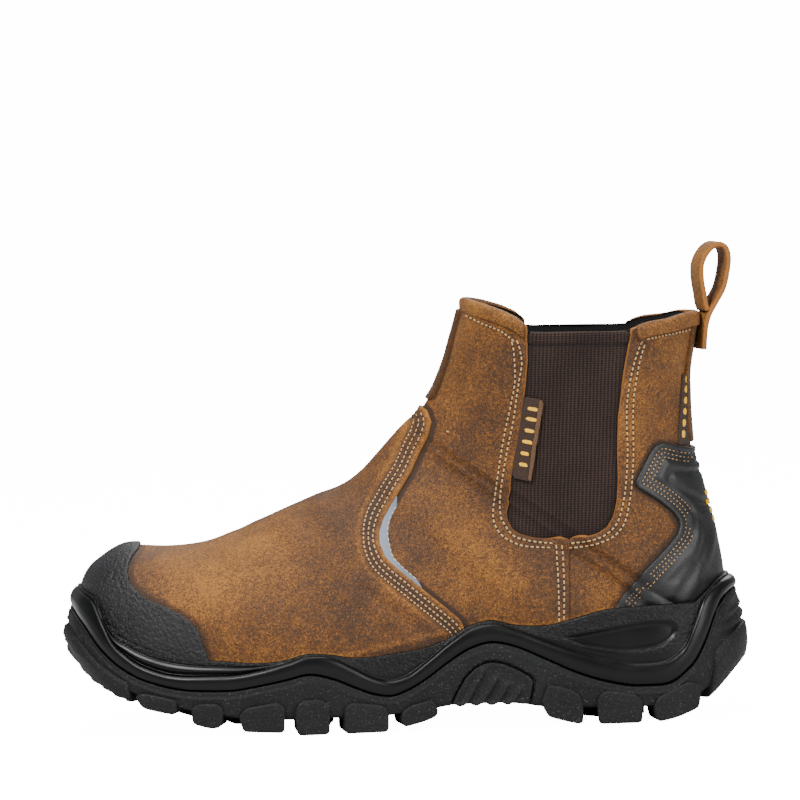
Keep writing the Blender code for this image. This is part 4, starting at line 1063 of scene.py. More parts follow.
def makeSole(outsolePaint, midsolePaint):
    lip = boot["lip"]
    base, groove = between("base", "groove", 0.0), between("base", "groove", 1.0)
    levels = [
        (between("base", "base", 0, 0.0), -lip * 2.4, -lip * 2.0),
        (between("base", "base", 0, 0.0), -3.2 * mm, -3.2 * mm),
        (between("base", "base", 0, 0.2 * mm), -2.3 * mm, -2.3 * mm),
        (between("base", "base", 0, 0.9 * mm), -1.6 * mm, -1.6 * mm),
    ]
    for share in np.linspace(0.12, 0.86, 26):
        offset = -1.35 * mm + 0.75 * mm * share
        levels.append((lambda x, s=share: base(x) + (groove(x) - 3.1 * mm - base(x)) * s, offset, offset))
    # the wall's top in mm: height from the groove and way out
    wallTop = ((-3.5, -0.55), (-3.2, -0.5), (-3.0, -0.62), (-2.85, -0.95), (-2.6, -1.15),
               (-1.4, -1.2), (-0.5, -1.2), (-0.2, -1.3), (0.0, -1.6), (0.0, -lip / mm))
    for lift, offset in wallTop:
        levels.append((lambda x, k=lift: groove(x) + k * mm, offset * mm, offset * mm + 0.2 * mm))
    outsole = soleMesh("outsoleWall", levels, outsolePaint, outsoleRelief, outsoleMask)

    levels = [(between("groove", "crest", 0.0, 1.2 * mm), -lip, -lip)]
    for share in (*np.linspace(0.0, 0.3, 9), *np.linspace(0.36, 0.84, 9), *np.linspace(0.88, 1.0, 6)):
        offset = np.interp(share, *bandShape) * mm
        levels.append((bandHeight(share), offset, offset))
    levels.append((between("crest", "rim", 0.0, 0.25 * mm), -2.2 * mm, -1.6 * mm))
    for share in np.linspace(0.04, 0.97, 34):
        offset = (-2.9 - 0.7 * share) * mm
        height = between("crest", "rim", share, 0.3 * mm * (1 - share))
        levels.append((height, offset, offset + (0.6 + 1.2 * share) * mm))
    for lift, inward in ((0.15, 0.0), (0.45, 0.25), (0.6, 0.7), (0.65, 2.5), (0.2, 6.5)):
        levels.append((between("rim", "rim", 0, lift * mm), (-3.7 - inward) * mm, (-1.8 - inward) * mm))
    midsole = soleMesh("midsoleBand", levels, midsolePaint, midsoleRelief, midsoleMask)
    return outsole, midsole


def wallPatch(sideIndex, xs, zs, offset):
    # a piece of the outsole's wall as a grid, with level outward ways
    points, ways = outlines[sideIndex]
    spot = columnsAt(xs, points[:, 0], points)
    way = unit(columnsAt(xs, points[:, 0], ways))
    grid = np.zeros((len(zs), len(xs), 3))
    for i, z in enumerate(zs):
        bend = lean(way[:, 0], np.full(len(xs), z)) + offset
        grid[i, :, :2] = spot + way * bend[:, None]
        grid[i, :, 2] = z
    normals = np.zeros_like(grid)
    normals[..., :2] = way[None]
    return grid, normals, np.tile(xs, (len(zs), 1)), np.tile(np.array(zs)[:, None], (1, len(xs)))


def softConvex(x, z, outline, softness):
    # distance inside a convex outline with rounded corners
    outline = np.asarray(outline, float)
    middle = outline.mean(axis=0)
    total = np.zeros(x.shape)
    for (ax, az), (bx, bz) in zip(outline, np.roll(outline, -1, axis=0)):
        nx, nz = az - bz, bx - ax
        size = math.hypot(nx, nz)
        nx, nz = nx / size, nz / size
        if (middle[0] - ax) * nx + (middle[1] - az) * nz < 0:
            nx, nz = -nx, -nz
        total += np.exp(-np.clip(((x - ax) * nx + (z - az) * nz) / softness, -60, 60))
    return -softness * np.log(total)


# Side lugs in mm, in side view from the toe tip, all convex
lugShapes = [
    [(32.6, 19.5), (37.0, 20.4), (52.0, 17.0), (51.6, 10.2), (42.6, 11.6), (36.4, 13.4)],
    [(58.4, 13.4), (61.6, 15.4), (70.7, 15.2), (73.0, 12.2), (71.4, 4.4), (67.2, 3.8), (58.8, 6.2)],
    [(79.6, 9.4), (82.8, 13.0), (97.6, 15.4), (100.6, 12.8), (100.2, 1.4), (81.6, 2.3)],
    [(105.0, 11.6), (108.2, 15.8), (117.4, 16.0), (120.8, 12.6), (120.5, 0.0), (106.0, 0.0)],
    [(127.2, 11.6), (130.2, 14.0), (144.6, 12.2), (147.2, 9.4), (147.0, 0.0), (127.2, 0.0)],
    [(152.4, 7.6), (155.6, 11.0), (166.2, 13.8), (169.0, 11.4), (169.2, 6.4), (165.2, 4.4), (153.4, 1.6)],
    [(215.4, 11.2), (218.6, 18.6), (227.0, 16.8), (232.6, 13.6), (234.0, 9.2), (233.8, 0.0), (229.0, 0.6),
     (218.0, 4.0)],
    [(240.0, 9.6), (241.4, 13.4), (244.2, 15.2), (257.4, 13.2), (260.8, 10.4), (260.6, 0.0), (240.6, 0.0)],
    [(265.6, 7.0), (268.0, 11.4), (282.8, 17.8), (288.8, 15.6), (288.2, 5.4), (277.8, 1.6), (267.4, 0.0)],
]


# Centre lugs: first and last x as shares of the length, half width as a share of the ball width
centreLugs = [
    (0.150, 0.200, 0.150), (0.225, 0.285, 0.170), (0.336, 0.392, 0.170), (0.408, 0.448, 0.140),
    (0.752, 0.846, 0.110),
]
sideNames = ("Outer", "Inner")


def makeLugs(paint):
    made = []
    for sideIndex in (0, 1):
        for k, shape in enumerate(lugShapes):
            outline = millimetres(shape)
            low, high = outline.min(axis=0) - 1.5 * mm, outline.max(axis=0) + 1.5 * mm
            xs = np.arange(low[0], high[0], 0.55 * mm)
            zs = np.arange(low[1], high[1], 0.55 * mm)
            grid, ways, x, z = wallPatch(sideIndex, xs, zs, -0.7 * mm)
            field = softConvex(x, z, outline, 0.45 * mm)
            puff = np.minimum(field, 4 * mm) * 0.05
            piece = panelPiece(
                "lug%s%d" % (sideNames[sideIndex], k), field, grid + ways * puff[..., None], ways, paint,
                soleLook["proud"], 0.9 * mm, soleLook["lugDepth"] + 1.4 * mm, {"grain": np.ones(x.shape)},
            )
            made.append(piece)
    for k, (start, end, half) in enumerate(centreLugs):
        turn = (0.03 if end < 0.6 else 0.0) * ballWidth
        third = start + (end - start) * 0.35
        flat = [(start, 0), (third, -half), (end, -half * 0.8), (end, half * 0.8), (third, half)]
        work = bmesh.new()
        rings = []
        for name, drop in (("tread", 0.0), ("base", 2 * mm)):
            places = [(x * length, y * ballWidth + turn, sideLine(name, x * length) + drop) for x, y in flat]
            rings.append([work.verts.new(place) for place in toFrame(places)])
        work.faces.new(rings[0])
        work.faces.new(rings[1][::-1])
        for a in range(5):
            b = (a + 1) % 5
            work.faces.new((rings[0][a], rings[0][b], rings[1][b], rings[1][a]))
        bmesh.ops.recalc_face_normals(work, faces=work.faces)
        bmesh.ops.bevel(work, geom=work.edges[:], offset=0.0012, segments=3, affect="EDGES")
        mesh = bpy.data.meshes.new("centreLug%d" % k)
        work.to_mesh(mesh)
        work.free()
        made.append(addObject(mesh.name, finishMesh(mesh, paint, {"grain": np.ones(len(mesh.vertices))})))
    return made


def endLug(name, reach, heel, paint):
    # the lug that wraps the toe or the heel, from sections across it
    count = 56
    spots, ways = [], []
    for sideIndex in (0, 1):
        points, normals = outlines[sideIndex]
        at = np.linspace(1, 0.0005, count) ** 1.6 * reach * length
        xs = length - at if heel else at
        spots.append(columnsAt(xs, points[:, 0], points))
        ways.append(unit(columnsAt(xs, points[:, 0], normals)))
    spot = np.concatenate([spots[0], spots[1][::-1]])
    way = np.concatenate([ways[0], ways[1][::-1]])
    even, own = np.linspace(0, 1, 150), np.linspace(0, 1, len(spot))
    spot = columnsAt(even, own, spot)
    way = unit(columnsAt(even, own, way))
    sections = []
    for k in range(len(spot)):
        x = spot[k, 0]
        tread = float(sideLine("tread", x))
        base, groove = float(sideLine("base", x)), float(sideLine("groove", x))
        top = base + (groove - base) * (0.45 if heel else 0.50)
        cut = 0.0 if heel else 0.9 * mm * (((x / mm) % 5.6) / 5.6)
        inner = 12 * mm
        inset = (0.0 if heel else 3.0 * mm) * way[k, 0] ** 2
        tall = top - tread
        heights = np.array([tread + cut, tread + cut, tread + 0.9 * mm + cut, tread + tall * 0.35,
                            tread + tall * 0.7, top - 0.8 * mm, top, top, base + 2 * mm, base + 2 * mm])
        outs = np.array([-inner, -1.6 * mm - inset, -0.5 * mm - inset, 0.25 * mm - 0.6 * inset, 0.6 * mm,
                         0.4 * mm, -0.5 * mm, -4 * mm, -4 * mm, -inner])
        bends = np.array([float(lean(way[k, 0], np.array(h))) for h in heights])
        bends[0] = bends[1]
        if k < 3 or k > len(spot) - 4:
            shrink = [0.9, 0.45, 0.12][min(k, len(spot) - 1 - k)]
            outs = outs - shrink * mm
        flat = spot[k] + np.outer(outs + bends, way[k])
        sections.append(np.column_stack([flat, heights]))
    size = len(sections[0])
    points = np.concatenate(sections)
    masks = {"grain": np.ones(len(points)), "rim": np.zeros(len(points))}
    thing = makeObject(name, points, tubeFaces(len(sections), size), paint, masks)
    return faceOut(thing)


def makeArch(paint, sideIndex):
    xs = np.arange(172 * mm, 215 * mm, 0.4 * mm)
    zs = np.arange(8 * mm, 31 * mm, 0.4 * mm)
    grid, ways, x, z = wallPatch(sideIndex, xs, zs, -1.0 * mm)
    field = insideDistance(x, z, archOutline) - 0.45 * mm
    wave = 10.6 * mm + 0.7 * mm * np.sin(2 * math.pi * (x - 181 * mm) / (7.0 * mm))
    field = np.minimum(field, z - wave)
    raised = np.zeros(x.shape)
    ribs = (((181.1, 10), (189.6, 25.2)), ((187.9, 10), (195.4, 21.4)), ((195.1, 10), (200.2, 18.6)),
            ((201.8, 10), (206.0, 16.6)))
    for rib in ribs:
        distance = lineDistance(x, z, millimetres(rib))
        raised += 1.5 * mm * bump(distance, 1.25 * mm)
    raised -= 0.4 * mm * step(insideDistance(x, z, archOutline), 1.5 * mm, 4 * mm)
    return panelPiece(
        "archBridge" + sideNames[sideIndex], field, grid + ways * raised[..., None], ways, paint,
        0.3 * mm, 0.5 * mm, 3 * mm, {"grain": np.full(x.shape, 0.5)},
    )


grain = grainGroup()
# lift makes lighter and darker copies of the same leather: the collar rolls and the pull loop are painted
# lighter as painted highlight, the seam strips darker
leather = nubuck("leatherNubuck", grain)
leatherRoll = nubuck("leatherRoll", grain, 0.10, 0.25)
leatherStrip = nubuck("leatherStrip", grain, 0.28, 1.0)
leatherSeam = nubuck("leatherSeam", grain, -0.22, 0.15)
guardPaint = rubber("guardRubber", (0.005, 0.005, 0.0055), 0.42, 620, 0.0008, 1.0, shine=0.34)
counterPaint = rubber("counterRubber", (0.006, 0.006, 0.0063), 0.42, 1200, 0.0002, 0.35, shine=0.34)
outsolePaint = rubber("outsoleRubber", (0.0045, 0.0045, 0.0048), 0.60, 1000, 0.0004, 0.6, "grain", 0.55)
bandPaint = rubber("bandRubber", (0.0012, 0.0012, 0.0013), 0.30, 850, 0.0004, 0.85, "grain")
elasticPaint = elastic("goreElastic")
lining = cloth("liningCloth", (0.0035, 0.003, 0.003), 0.0012, lighter=1.3)
labelCloth = cloth("labelCloth", (0.040, 0.022, 0.015), 0.0008)
labelFold = cloth("labelFold", (0.12, 0.062, 0.030), 0.0008)
boardPaint = cloth("footbedCloth", (0.20, 0.15, 0.10), 0.0014)
silverPaint = rubber("trimSilver", (0.145, 0.165, 0.20), 0.42, 1500, 0.0001, 0.4)
yellowPaint = newMaterial("badgeYellow", (0.70, 0.36, 0.0), 0.45)[0]
brownThread = thread("threadCream", (0.52, 0.30, 0.10))
darkThread = thread("threadTan", (0.40, 0.20, 0.055))
paleThread = thread("threadPale", (0.50, 0.42, 0.30))
# near-black marks between the stitches: painted shade of the needle holes
holeShadePaint = newMaterial("needleHole", (0.006, 0.004, 0.003), 0.9)[0]
print("materials ready")

# Thickness and edges of the panels in mm
panels = {
    "collarEdge": 0.2,
    "quarterRaise": 0.8,
    "vampThick": 1.7,
    "guardThick": 3.3,
    "counterThick": 1.9,
    "goreBehind": 2.3,
}


def lifted(height):
    return skin + skinNormals * height[..., None]


def layPanel(name, field, surface, paint, sizes, extra, slot, *nodes):
    # sizes in mm: how far out, the rim's radius and how far the rim goes down
    out, edge, sink = (size * mm for size in sizes)
    piece = panelPiece(name, field, surface, skinNormals, paint, out, edge, sink, extra)
    return finishPiece(piece, slot, *nodes)


front = np.minimum(belowCollar - panels["collarEdge"] * mm, aboveRim)
ahead = seamX - skinX
dip = -0.9 * mm * bump(goreField, 1.6 * mm)
raised = panels["quarterRaise"] * mm * step(12 * mm - ahead, 0, 9 * mm)
# Painted shade: dark lines just outside the vamp's and counter's edges and beside the front strip; soleShade
# lightens a band just above the sole's rim
seamShade = -1.4 * bump(vampField + 0.8 * mm, 0.8 * mm) - 0.45 * bump(counterField + 0.7 * mm, 0.9 * mm)
strip = {"middle": 0.001, "half": 6.5 * mm, "foot": 0.775 * shaftHeight, "belowCollar": 5.5 * mm}
fromStrip = abs(skinY - strip["middle"])
stripShade = -0.9 * bump(fromStrip - 7.2 * mm, 0.7 * mm) * (skinZ > strip["foot"]) * (skinX < 0.22)
soleShade = 0.30 * bump(aboveRim - 3.6 * mm, 0.7 * mm)
layerToneAndShade = {"tone": tone + seamShade + stripShade + soleShade}
for name, field, height in (
    ("quarterFront", np.minimum.reduce([front, -goreField, ahead]), dip + raised),
    ("quarterRear", np.minimum.reduce([front, -goreField, -ahead - 0.1 * mm]), dip),
):
    layPanel(name, field, lifted(height), leather, (0, 0.55, 2.1), layerToneAndShade, "leather", "upper")

trough = np.zeros(skinX.shape)
for inset in (2.7, 5.0, 7.2):
    trough += 0.30 * mm * bump(vampField - inset * mm, 0.55 * mm)
# Lighter along the vamp's raised edge, a painted highlight, and in a band further in; painted shade between
# the stitch rows and beside the toe guard's edge
rimShade = 0.30 * bump(vampField - 0.7 * mm, 0.8 * mm) + 0.22 * bump(vampField - 9.6 * mm, 1.0 * mm)
rimShade -= 0.30 * bump(vampField - 5.0 * mm, 2.6 * mm) + 0.35 * bump(guardField + 0.8 * mm, 1.2 * mm)
vampToneAndShade = {"tone": tone + rimShade + soleShade}
layPanel("vampPanel", np.minimum(vampField, aboveRim + 0.2 * mm), lifted(-trough), leather,
         (panels["vampThick"], 0.6, 1.6), vampToneAndShade, "leather", "vamp")
layPanel("toeGuardPanel", np.minimum(guardField, aboveRim + 1.5 * mm), skin, guardPaint,
         (panels["guardThick"], 1.0, 1.7), None, "guard", "toe_guard")

counterInset = roundLine(
    millimetres([(275.4, 112.6), (284, 111.6), (297, 109.4), (301, 100), (296, 92.5), (290.2, 94.2),
                 (282.4, 99.0), (274.6, 104.6), (272.6, 108.4)]), 60, True)
panelField = skinInside(counterInset)
strapLine = [(287.5, 89), (289.8, 82.6), (288.5, 75.9), (284.7, 67), (279, 59.1), (273, 52.1)]
strapLine = roundLine(millimetres(strapLine), 60)
strapSpace = lineDistance(skinX, skinZ, strapLine)
counterLift = np.zeros(skinX.shape)
meshPatches = (
    [(271.5, 62), (284, 73.5), (286, 71), (280, 62)],
    [(288.6, 70.5), (293.4, 64), (292, 59), (285.5, 59.5)],
)
for patch in meshPatches:
    counterLift -= 0.45 * mm * step(skinInside(millimetres(patch)), -0.1 * mm, 0.4 * mm)
counterLift -= 0.5 * mm * bump(skinFrom([(286.5, 91.2), (292.6, 95.6), (300, 97)]), 0.5 * mm)
counterLift += 0.55 * mm * step(counterField, 7.2 * mm, 7.8 * mm)
counterLift -= 0.7 * mm * step(panelField, -0.2 * mm, 0.5 * mm) * (1 - step(panelField, 2.4 * mm, 3.2 * mm))
counterLift -= 0.5 * mm * bump(strapSpace, 0.7 * mm)
counterLift += 0.5 * mm * bump(strapSpace - 3.4 * mm, 1.6 * mm)
for inset in (2.7, 4.5, 6.3):
    counterLift -= 0.55 * mm * bump(counterField - inset * mm, 0.62 * mm)
layPanel("counterPanel", np.minimum(counterField, aboveRim), lifted(counterLift), counterPaint,
         (panels["counterThick"], 0.6, 1.9), None, "guard", "heel_counter")
print("panels ready")

# Elastic behind the wall, with the hem at its top
topLine = np.interp(skinX, np.array([0.2126, 0.2610]), np.array([0.1762, 0.1752]))
fromTop = topLine - skinZ
hem = 0.8 * mm * (bump(fromTop - 1.6 * mm, 1.0 * mm) + bump(fromTop - 4.0 * mm, 0.9 * mm))
hem -= 0.5 * mm * bump(fromTop - 5.9 * mm, 0.7 * mm)
hollow = -1.2 * mm * step(goreField, 4 * mm, 22 * mm)
inNeck = np.where(fromTop < 7 * mm, np.minimum(skinX - 0.2131, 0.2604 - skinX), 1.0)
goreShape = np.minimum.reduce([goreField + 5 * mm, fromTop, inNeck])
# Painted shade where the recessed elastic meets the leather's edge, and a darker line in the hem's lowest
# groove
goreTone = {"tone": 0.75 * bump(fromTop - 5.9 * mm, 0.8 * mm) + 0.55 * bump(goreField, 2.2 * mm)}
for name, sign, node in (("goreOuter", -1, "gore_lateral"), ("goreInner", 1, "gore_medial")):
    layPanel(name, np.minimum(goreShape, sign * skinY), lifted(hem + hollow), elasticPaint,
             (-panels["goreBehind"], 0.6, 1.4), goreTone, "elastic", node)

# Black lining inside
inside = skin - skinNormals * 4.4 * mm
half = (slice(None, None, 2), slice(None, None, 2))
liningTop = topLine + 0.4 * mm - skinZ + 40 * mm * (goreField < -2 * mm)
liningFoot = skinZ - sideLine("rim", skinX) + 24 * mm
liningField = np.minimum.reduce([belowCollar - 1.2 * mm, liningTop, liningFoot])[half]
finishPiece(
    panelPiece("liningShell", liningField, inside[half], skinNormals[half], lining, 0.0, 0.3 * mm, 0.6 * mm),
    "webbing")

# Silver crescents beside the vamp's edge
crescentEdge = [(x, z) for x, z in vampEdge if 0.318 <= z <= 0.564]
crescentOuter = [(x + 0.0145 - abs(z - 0.445) * 0.06, z) for x, z in crescentEdge[1:-1]]
crescentOuter = roundLine(shares(crescentOuter), 60)
crescentShape = np.vstack([shares([(x - 0.004, z) for x, z in crescentEdge]), crescentOuter[::-1]])
crescentField = skinInside(crescentShape)
for name, sign, node in (("crescentOuter", -1, "trim_lateral"), ("crescentInner", 1, "trim_medial")):
    layPanel(name, np.minimum(crescentField, sign * skinY), skin, silverPaint, (0.7, 0.3, 0.8), None,
             "silver", node)

# Strips over the front and back seams
underRoll = belowCollar - strip["belowCollar"]
stripField = np.minimum.reduce([
    strip["half"] - fromStrip, skinZ - strip["foot"], underRoll, 0.65 * length - skinX])
stripSizes = (1.7, 0.5, 1.7)
layPanel("frontSeamStrip", stripField, skin, leatherSeam, stripSizes, layerToneAndShade,
         "leather", "front_seam_strip")
strapEdge = np.interp(skinX, [0.2666, 0.307], [0.126, 0.1205])
strapField = np.minimum.reduce([10 * mm - abs(skinY), skinZ - strapEdge, underRoll, skinX - 0.262])
layPanel("backStrap", strapField, skin, leatherSeam, stripSizes, layerToneAndShade, "leather", "back_strap")
print("strips ready")


# Collar rolls: the edge of the form along the collar, then a rounded profile swept along it
def collarPath():
    path, outs = [], []
    for j in range(0, columnCount, 2):
        column = belowCollar[:, j]
        crossing = np.nonzero((column[:-1] > 0) != (column[1:] > 0))[0]
        if not len(crossing):
            continue
        i = crossing[-1]
        t = column[i] / (column[i] - column[i + 1])
        path.append(skin[i, j] + (skin[i + 1, j] - skin[i, j]) * t)
        outs.append(skinNormals[i, j])
    return np.array(path), np.array(outs)


rollPath, rollOuts = collarPath()
rollProfile = [(1.5, -5.9), (1.7, -5.2), (1.75, -3.0), (1.7, -1.3), (1.2, -0.2), (0.0, 0.35), (-1.6, 0.35),
               (-3.0, -0.2), (-3.6, -1.3), (-3.7, -3.4), (-3.6, -5.9), (-2.6, -6.1), (0.4, -6.1)]
rollProfile = [(a * mm, b * mm) for a, b in rollProfile]
rollStops = (goreEdge[0][0] * length - 0.2 * mm, goreEdge[-1][0] * length + 0.2 * mm)


def rollBetween(name, keep, node):
    points, outs = rollPath[keep], rollOuts[keep]
    fine = roundLine(points, 240)
    flat = np.array([outs[np.argmin(((points - p) ** 2).sum(axis=1))] for p in fine])
    flat = np.array([flat[max(0, k - 4): k + 5].mean(axis=0) for k in range(len(flat))])
    flat[:, 2] = 0
    flat = unit(flat)
    piece = sweepPiece(name, fine, flat, np.tile([0, 0, 1.0], (len(fine), 1)), rollProfile, leatherRoll)
    return finishPiece(piece, "leather", node)


rollBetween("collarRollFront", rollPath[:, 0] < rollStops[0], "collar_binding_front")
behind = rollPath[:, 0] > rollStops[1]
order = np.argsort(np.arctan2(rollPath[behind][:, 1], rollPath[behind][:, 0] - 0.262))
kept = np.nonzero(behind)[0][order]
rollBetween("collarRollRear", kept, "collar_binding_rear")

# Pull loop
loopMiddle = roundLine(np.vstack([shares(loopPath), millimetres([(293.8, 182.6)])]), 90)
loopRun = unit(np.gradient(loopMiddle, axis=0))
loopPivot = 0.2975
turnCos, turnSin = math.cos(math.radians(12)), math.sin(math.radians(12))
loopAway = loopMiddle[:, 0] - loopPivot
loopPoints = np.column_stack([loopPivot + loopAway * turnCos, loopAway * turnSin, loopMiddle[:, 1]])
loopOut = np.column_stack([-loopRun[:, 1] * turnCos, -loopRun[:, 1] * turnSin, loopRun[:, 0]])
loopAcross = np.tile([-turnSin, turnCos, 0], (90, 1))
loopShape = roundedProfile(17 * mm, 2.4 * mm, 0.7 * mm, 4)
loopMarks = [1.0 if abs(a) > 8.15 * mm else 0.0 for a, _ in loopShape]
loopStrip = sweepPiece("pullLoopStrip", loopPoints, loopAcross, loopOut, loopShape, leatherStrip, loopMarks)
finishPiece(loopStrip, "leather", "pull_loop")

# Labels, with plain marks in place of words
def outerLabel(name, field, paint, sizes, node):
    return layPanel(name, np.minimum(field, -skinY), skin, paint, sizes, None, "webbing", node)


def markField(marks, radius):
    field = np.full(skinX.shape, -1.0)
    for line in marks:
        field = np.maximum(field, radius * mm - skinFrom(line))
    return field


labelOut = 1.4 - panels["goreBehind"]
tapeShape = millimetres([(211, 147.2), (219.5, 145.4), (212.8, 109), (204.4, 111)])
foldShape = millimetres([(217.9, 145.7), (219.9, 145.3), (213.2, 109), (211.3, 109.3)])
tagShape = millimetres([(282.6, 154.6), (287.6, 154.6), (285.4, 122.7), (279.6, 122.8)])
labelDashes = [
    ((213.2, 142.0), (216.6, 141.3)), ((212.3, 137.4), (215.8, 136.7)), ((211.4, 132.2), (214.6, 131.6)),
    ((210.4, 127.2), (213.8, 126.5)), ((209.4, 122.0), (212.2, 121.4)), ((208.5, 117.0), (211.6, 116.4)),
]
tagDashes = []
for z in (126.5, 131.5, 136.5, 141.5, 146.5, 151.0):
    x = 281.7 + (z - 123) * 0.092
    tagDashes.append(((x, z), (x + 0.15, z + 2.0)))
outerLabel("sideLabelTape", skinInside(tapeShape), labelCloth, (labelOut, 0.25, 1.2), "side_label")
outerLabel("sideLabelFold", skinInside(foldShape), labelFold, (labelOut + 0.35, 0.25, 0.6), "side_label")
outerLabel("backLabelTape", skinInside(tagShape), labelCloth, (0.9, 0.25, 1.0), "back_label")
outerLabel("labelMarks", markField(labelDashes, 0.80), yellowPaint, (labelOut + 0.25, 0.1, 0.3), "side_label")
outerLabel("backLabelMarks", markField(tagDashes, 0.75), yellowPaint, (1.15, 0.1, 0.3), "back_label")
barField = np.full(skinX.shape, -1.0)
for z in (87.5, 91.5, 95.5, 99.5):
    barField = np.maximum(barField, 1.1 * mm - np.hypot(np.maximum(abs(skinY) - 6.6 * mm, 0), skinZ - z * mm))
barField = np.where(skinX > 0.27, barField, -1.0)
layPanel("heelBars", barField, skin, yellowPaint, (2.9, 0.2, 1.2), None, "yellow", "heel_badge")
print("labels ready")

# Sole pieces
outsole, midsole = makeSole(outsolePaint, bandPaint)
finishPiece(outsole, "rubber", "outsole")
finishPiece(midsole, "band", "midsole")
for lug in makeLugs(outsolePaint):
    finishPiece(lug, "rubber", "outsole")
finishPiece(endLug("toeLug", 0.098, False, outsolePaint), "rubber", "outsole")
finishPiece(endLug("heelLug", 0.050, True, outsolePaint), "rubber", "outsole")
for sideIndex in (0, 1):
    finishPiece(makeArch(outsolePaint, sideIndex), "rubber", "outsole")
print("sole ready")

# Stitches: one node tree, laid along lines on the upper
stitchLook = {"pitch": 2.45 * mm, "long": 1.95 * mm, "wide": 0.72 * mm, "tall": 0.60 * mm}


def stitchShape(name, size, paint):
    long, wide, tall = size
    rows, ring = 5, 6
    points = []
    for a in np.linspace(-1, 1, rows):
        swell = math.sqrt(max(0.0, 1 - (0.86 * a) ** 4))
        for b in np.linspace(0, 2 * math.pi, ring, endpoint=False):
            points.append((a * long / 2, math.cos(b) * wide / 2 * swell, math.sin(b) * tall / 2 * swell))
    mesh = bpy.data.meshes.new(name)
    mesh.from_pydata(points, [], tubeFaces(rows, ring))
    return addObject(name, finishMesh(mesh, paint))


def stitchTree():
    tree = bpy.data.node_groups.new("stitchRows", "GeometryNodeTree")
    for key, kind in (("Places", "Geometry"), ("Shape", "Object"), ("Thread", "Material")):
        tree.interface.new_socket(key, in_out="INPUT", socket_type="NodeSocket" + kind)
    tree.interface.new_socket("Rows", in_out="OUTPUT", socket_type="NodeSocketGeometry")
    add = tree.nodes.new
    start, end = add("NodeGroupInput"), add("NodeGroupOutput")
    shape = add("GeometryNodeObjectInfo")
    run, up = add("GeometryNodeInputNamedAttribute"), add("GeometryNodeInputNamedAttribute")
    for node, key in ((run, "run"), (up, "up")):
        node.data_type = "FLOAT_VECTOR"
        node.inputs["Name"].default_value = key
    first, second = add("FunctionNodeAlignEulerToVector"), add("FunctionNodeAlignEulerToVector")
    first.axis = "X"
    second.axis = "Z"
    second.pivot_axis = "X"
    place = add("GeometryNodeInstanceOnPoints")
    realize = add("GeometryNodeRealizeInstances")
    paint = add("GeometryNodeSetMaterial")
    for source, output, target, entry in (
        (start, "Shape", shape, "Object"),
        (run, "Attribute", first, "Vector"),
        (first, "Rotation", second, "Rotation"),
        (up, "Attribute", second, "Vector"),
        (start, "Places", place, "Points"),
        (shape, "Geometry", place, "Instance"),
        (second, "Rotation", place, "Rotation"),
        (place, "Instances", realize, "Geometry"),
        (realize, "Geometry", paint, "Geometry"),
        (start, "Thread", paint, "Material"),
        (paint, "Geometry", end, "Rows"),
    ):
        tree.links.new(source.outputs[output], target.inputs[entry])
    return tree


stitchNodes = stitchTree()


def laidRows(name, lines, shape, paint, pitch, shift=0.0):
    # lines: (points, ups) pairs in the shoe's frame
    places, runs, ups = [], [], []
    for points, up in lines:
        total = np.linalg.norm(np.diff(points, axis=0), axis=1).sum()
        count = max(2, int(total / pitch))
        at = (np.arange(count) + 0.5 + shift) / count
        at = at[at < 1]
        along = np.linspace(0, 1, len(points))
        places.append(columnsAt(at, along, points))
        ups.append(columnsAt(at, along, up))
        runs.append(columnsAt(at, along, np.gradient(points, axis=0)))
    places, runs, ups = (np.concatenate(values) for values in (places, runs, ups))
    runs = unit(runs)
    mesh = bpy.data.meshes.new(name + "Places")
    mesh.from_pydata(toFrame(places).tolist(), [], [])
    for key, values in (("run", runs), ("up", ups)):
        layer = mesh.attributes.new(key, "FLOAT_VECTOR", "POINT")
        layer.data.foreach_set("vector", values.astype(np.float32).ravel())
    holder = addObject(name + "Places", mesh)
    modifier = holder.modifiers.new("rows", "NODES")
    modifier.node_group = stitchNodes
    given = {"Shape": shape, "Thread": paint}
    for item in stitchNodes.interface.items_tree:
        if item.in_out == "INPUT" and item.name in given:
            modifier[item.identifier] = given[item.name]
    bpy.context.view_layer.update()
    graph = bpy.context.evaluated_depsgraph_get()
    made = bpy.data.meshes.new_from_object(holder.evaluated_get(graph))
    made.materials.clear()
    made.materials.append(paint)
    holder.modifiers.clear()
    bpy.data.objects.remove(holder, do_unlink=True)
    return addObject(name, made)


def offsetRow(line, inset):
    # a side-view line moved to its left by an inset in mm
    flat = roundLine(line, 120)
    run = unit(np.gradient(flat, axis=0))
    moved = flat + np.column_stack([-run[:, 1], run[:, 0]]) * inset
    gap = np.linalg.norm(moved[:, None] - flat[None], axis=2).min(axis=1)
    return moved[gap > 0.95 * abs(inset)]


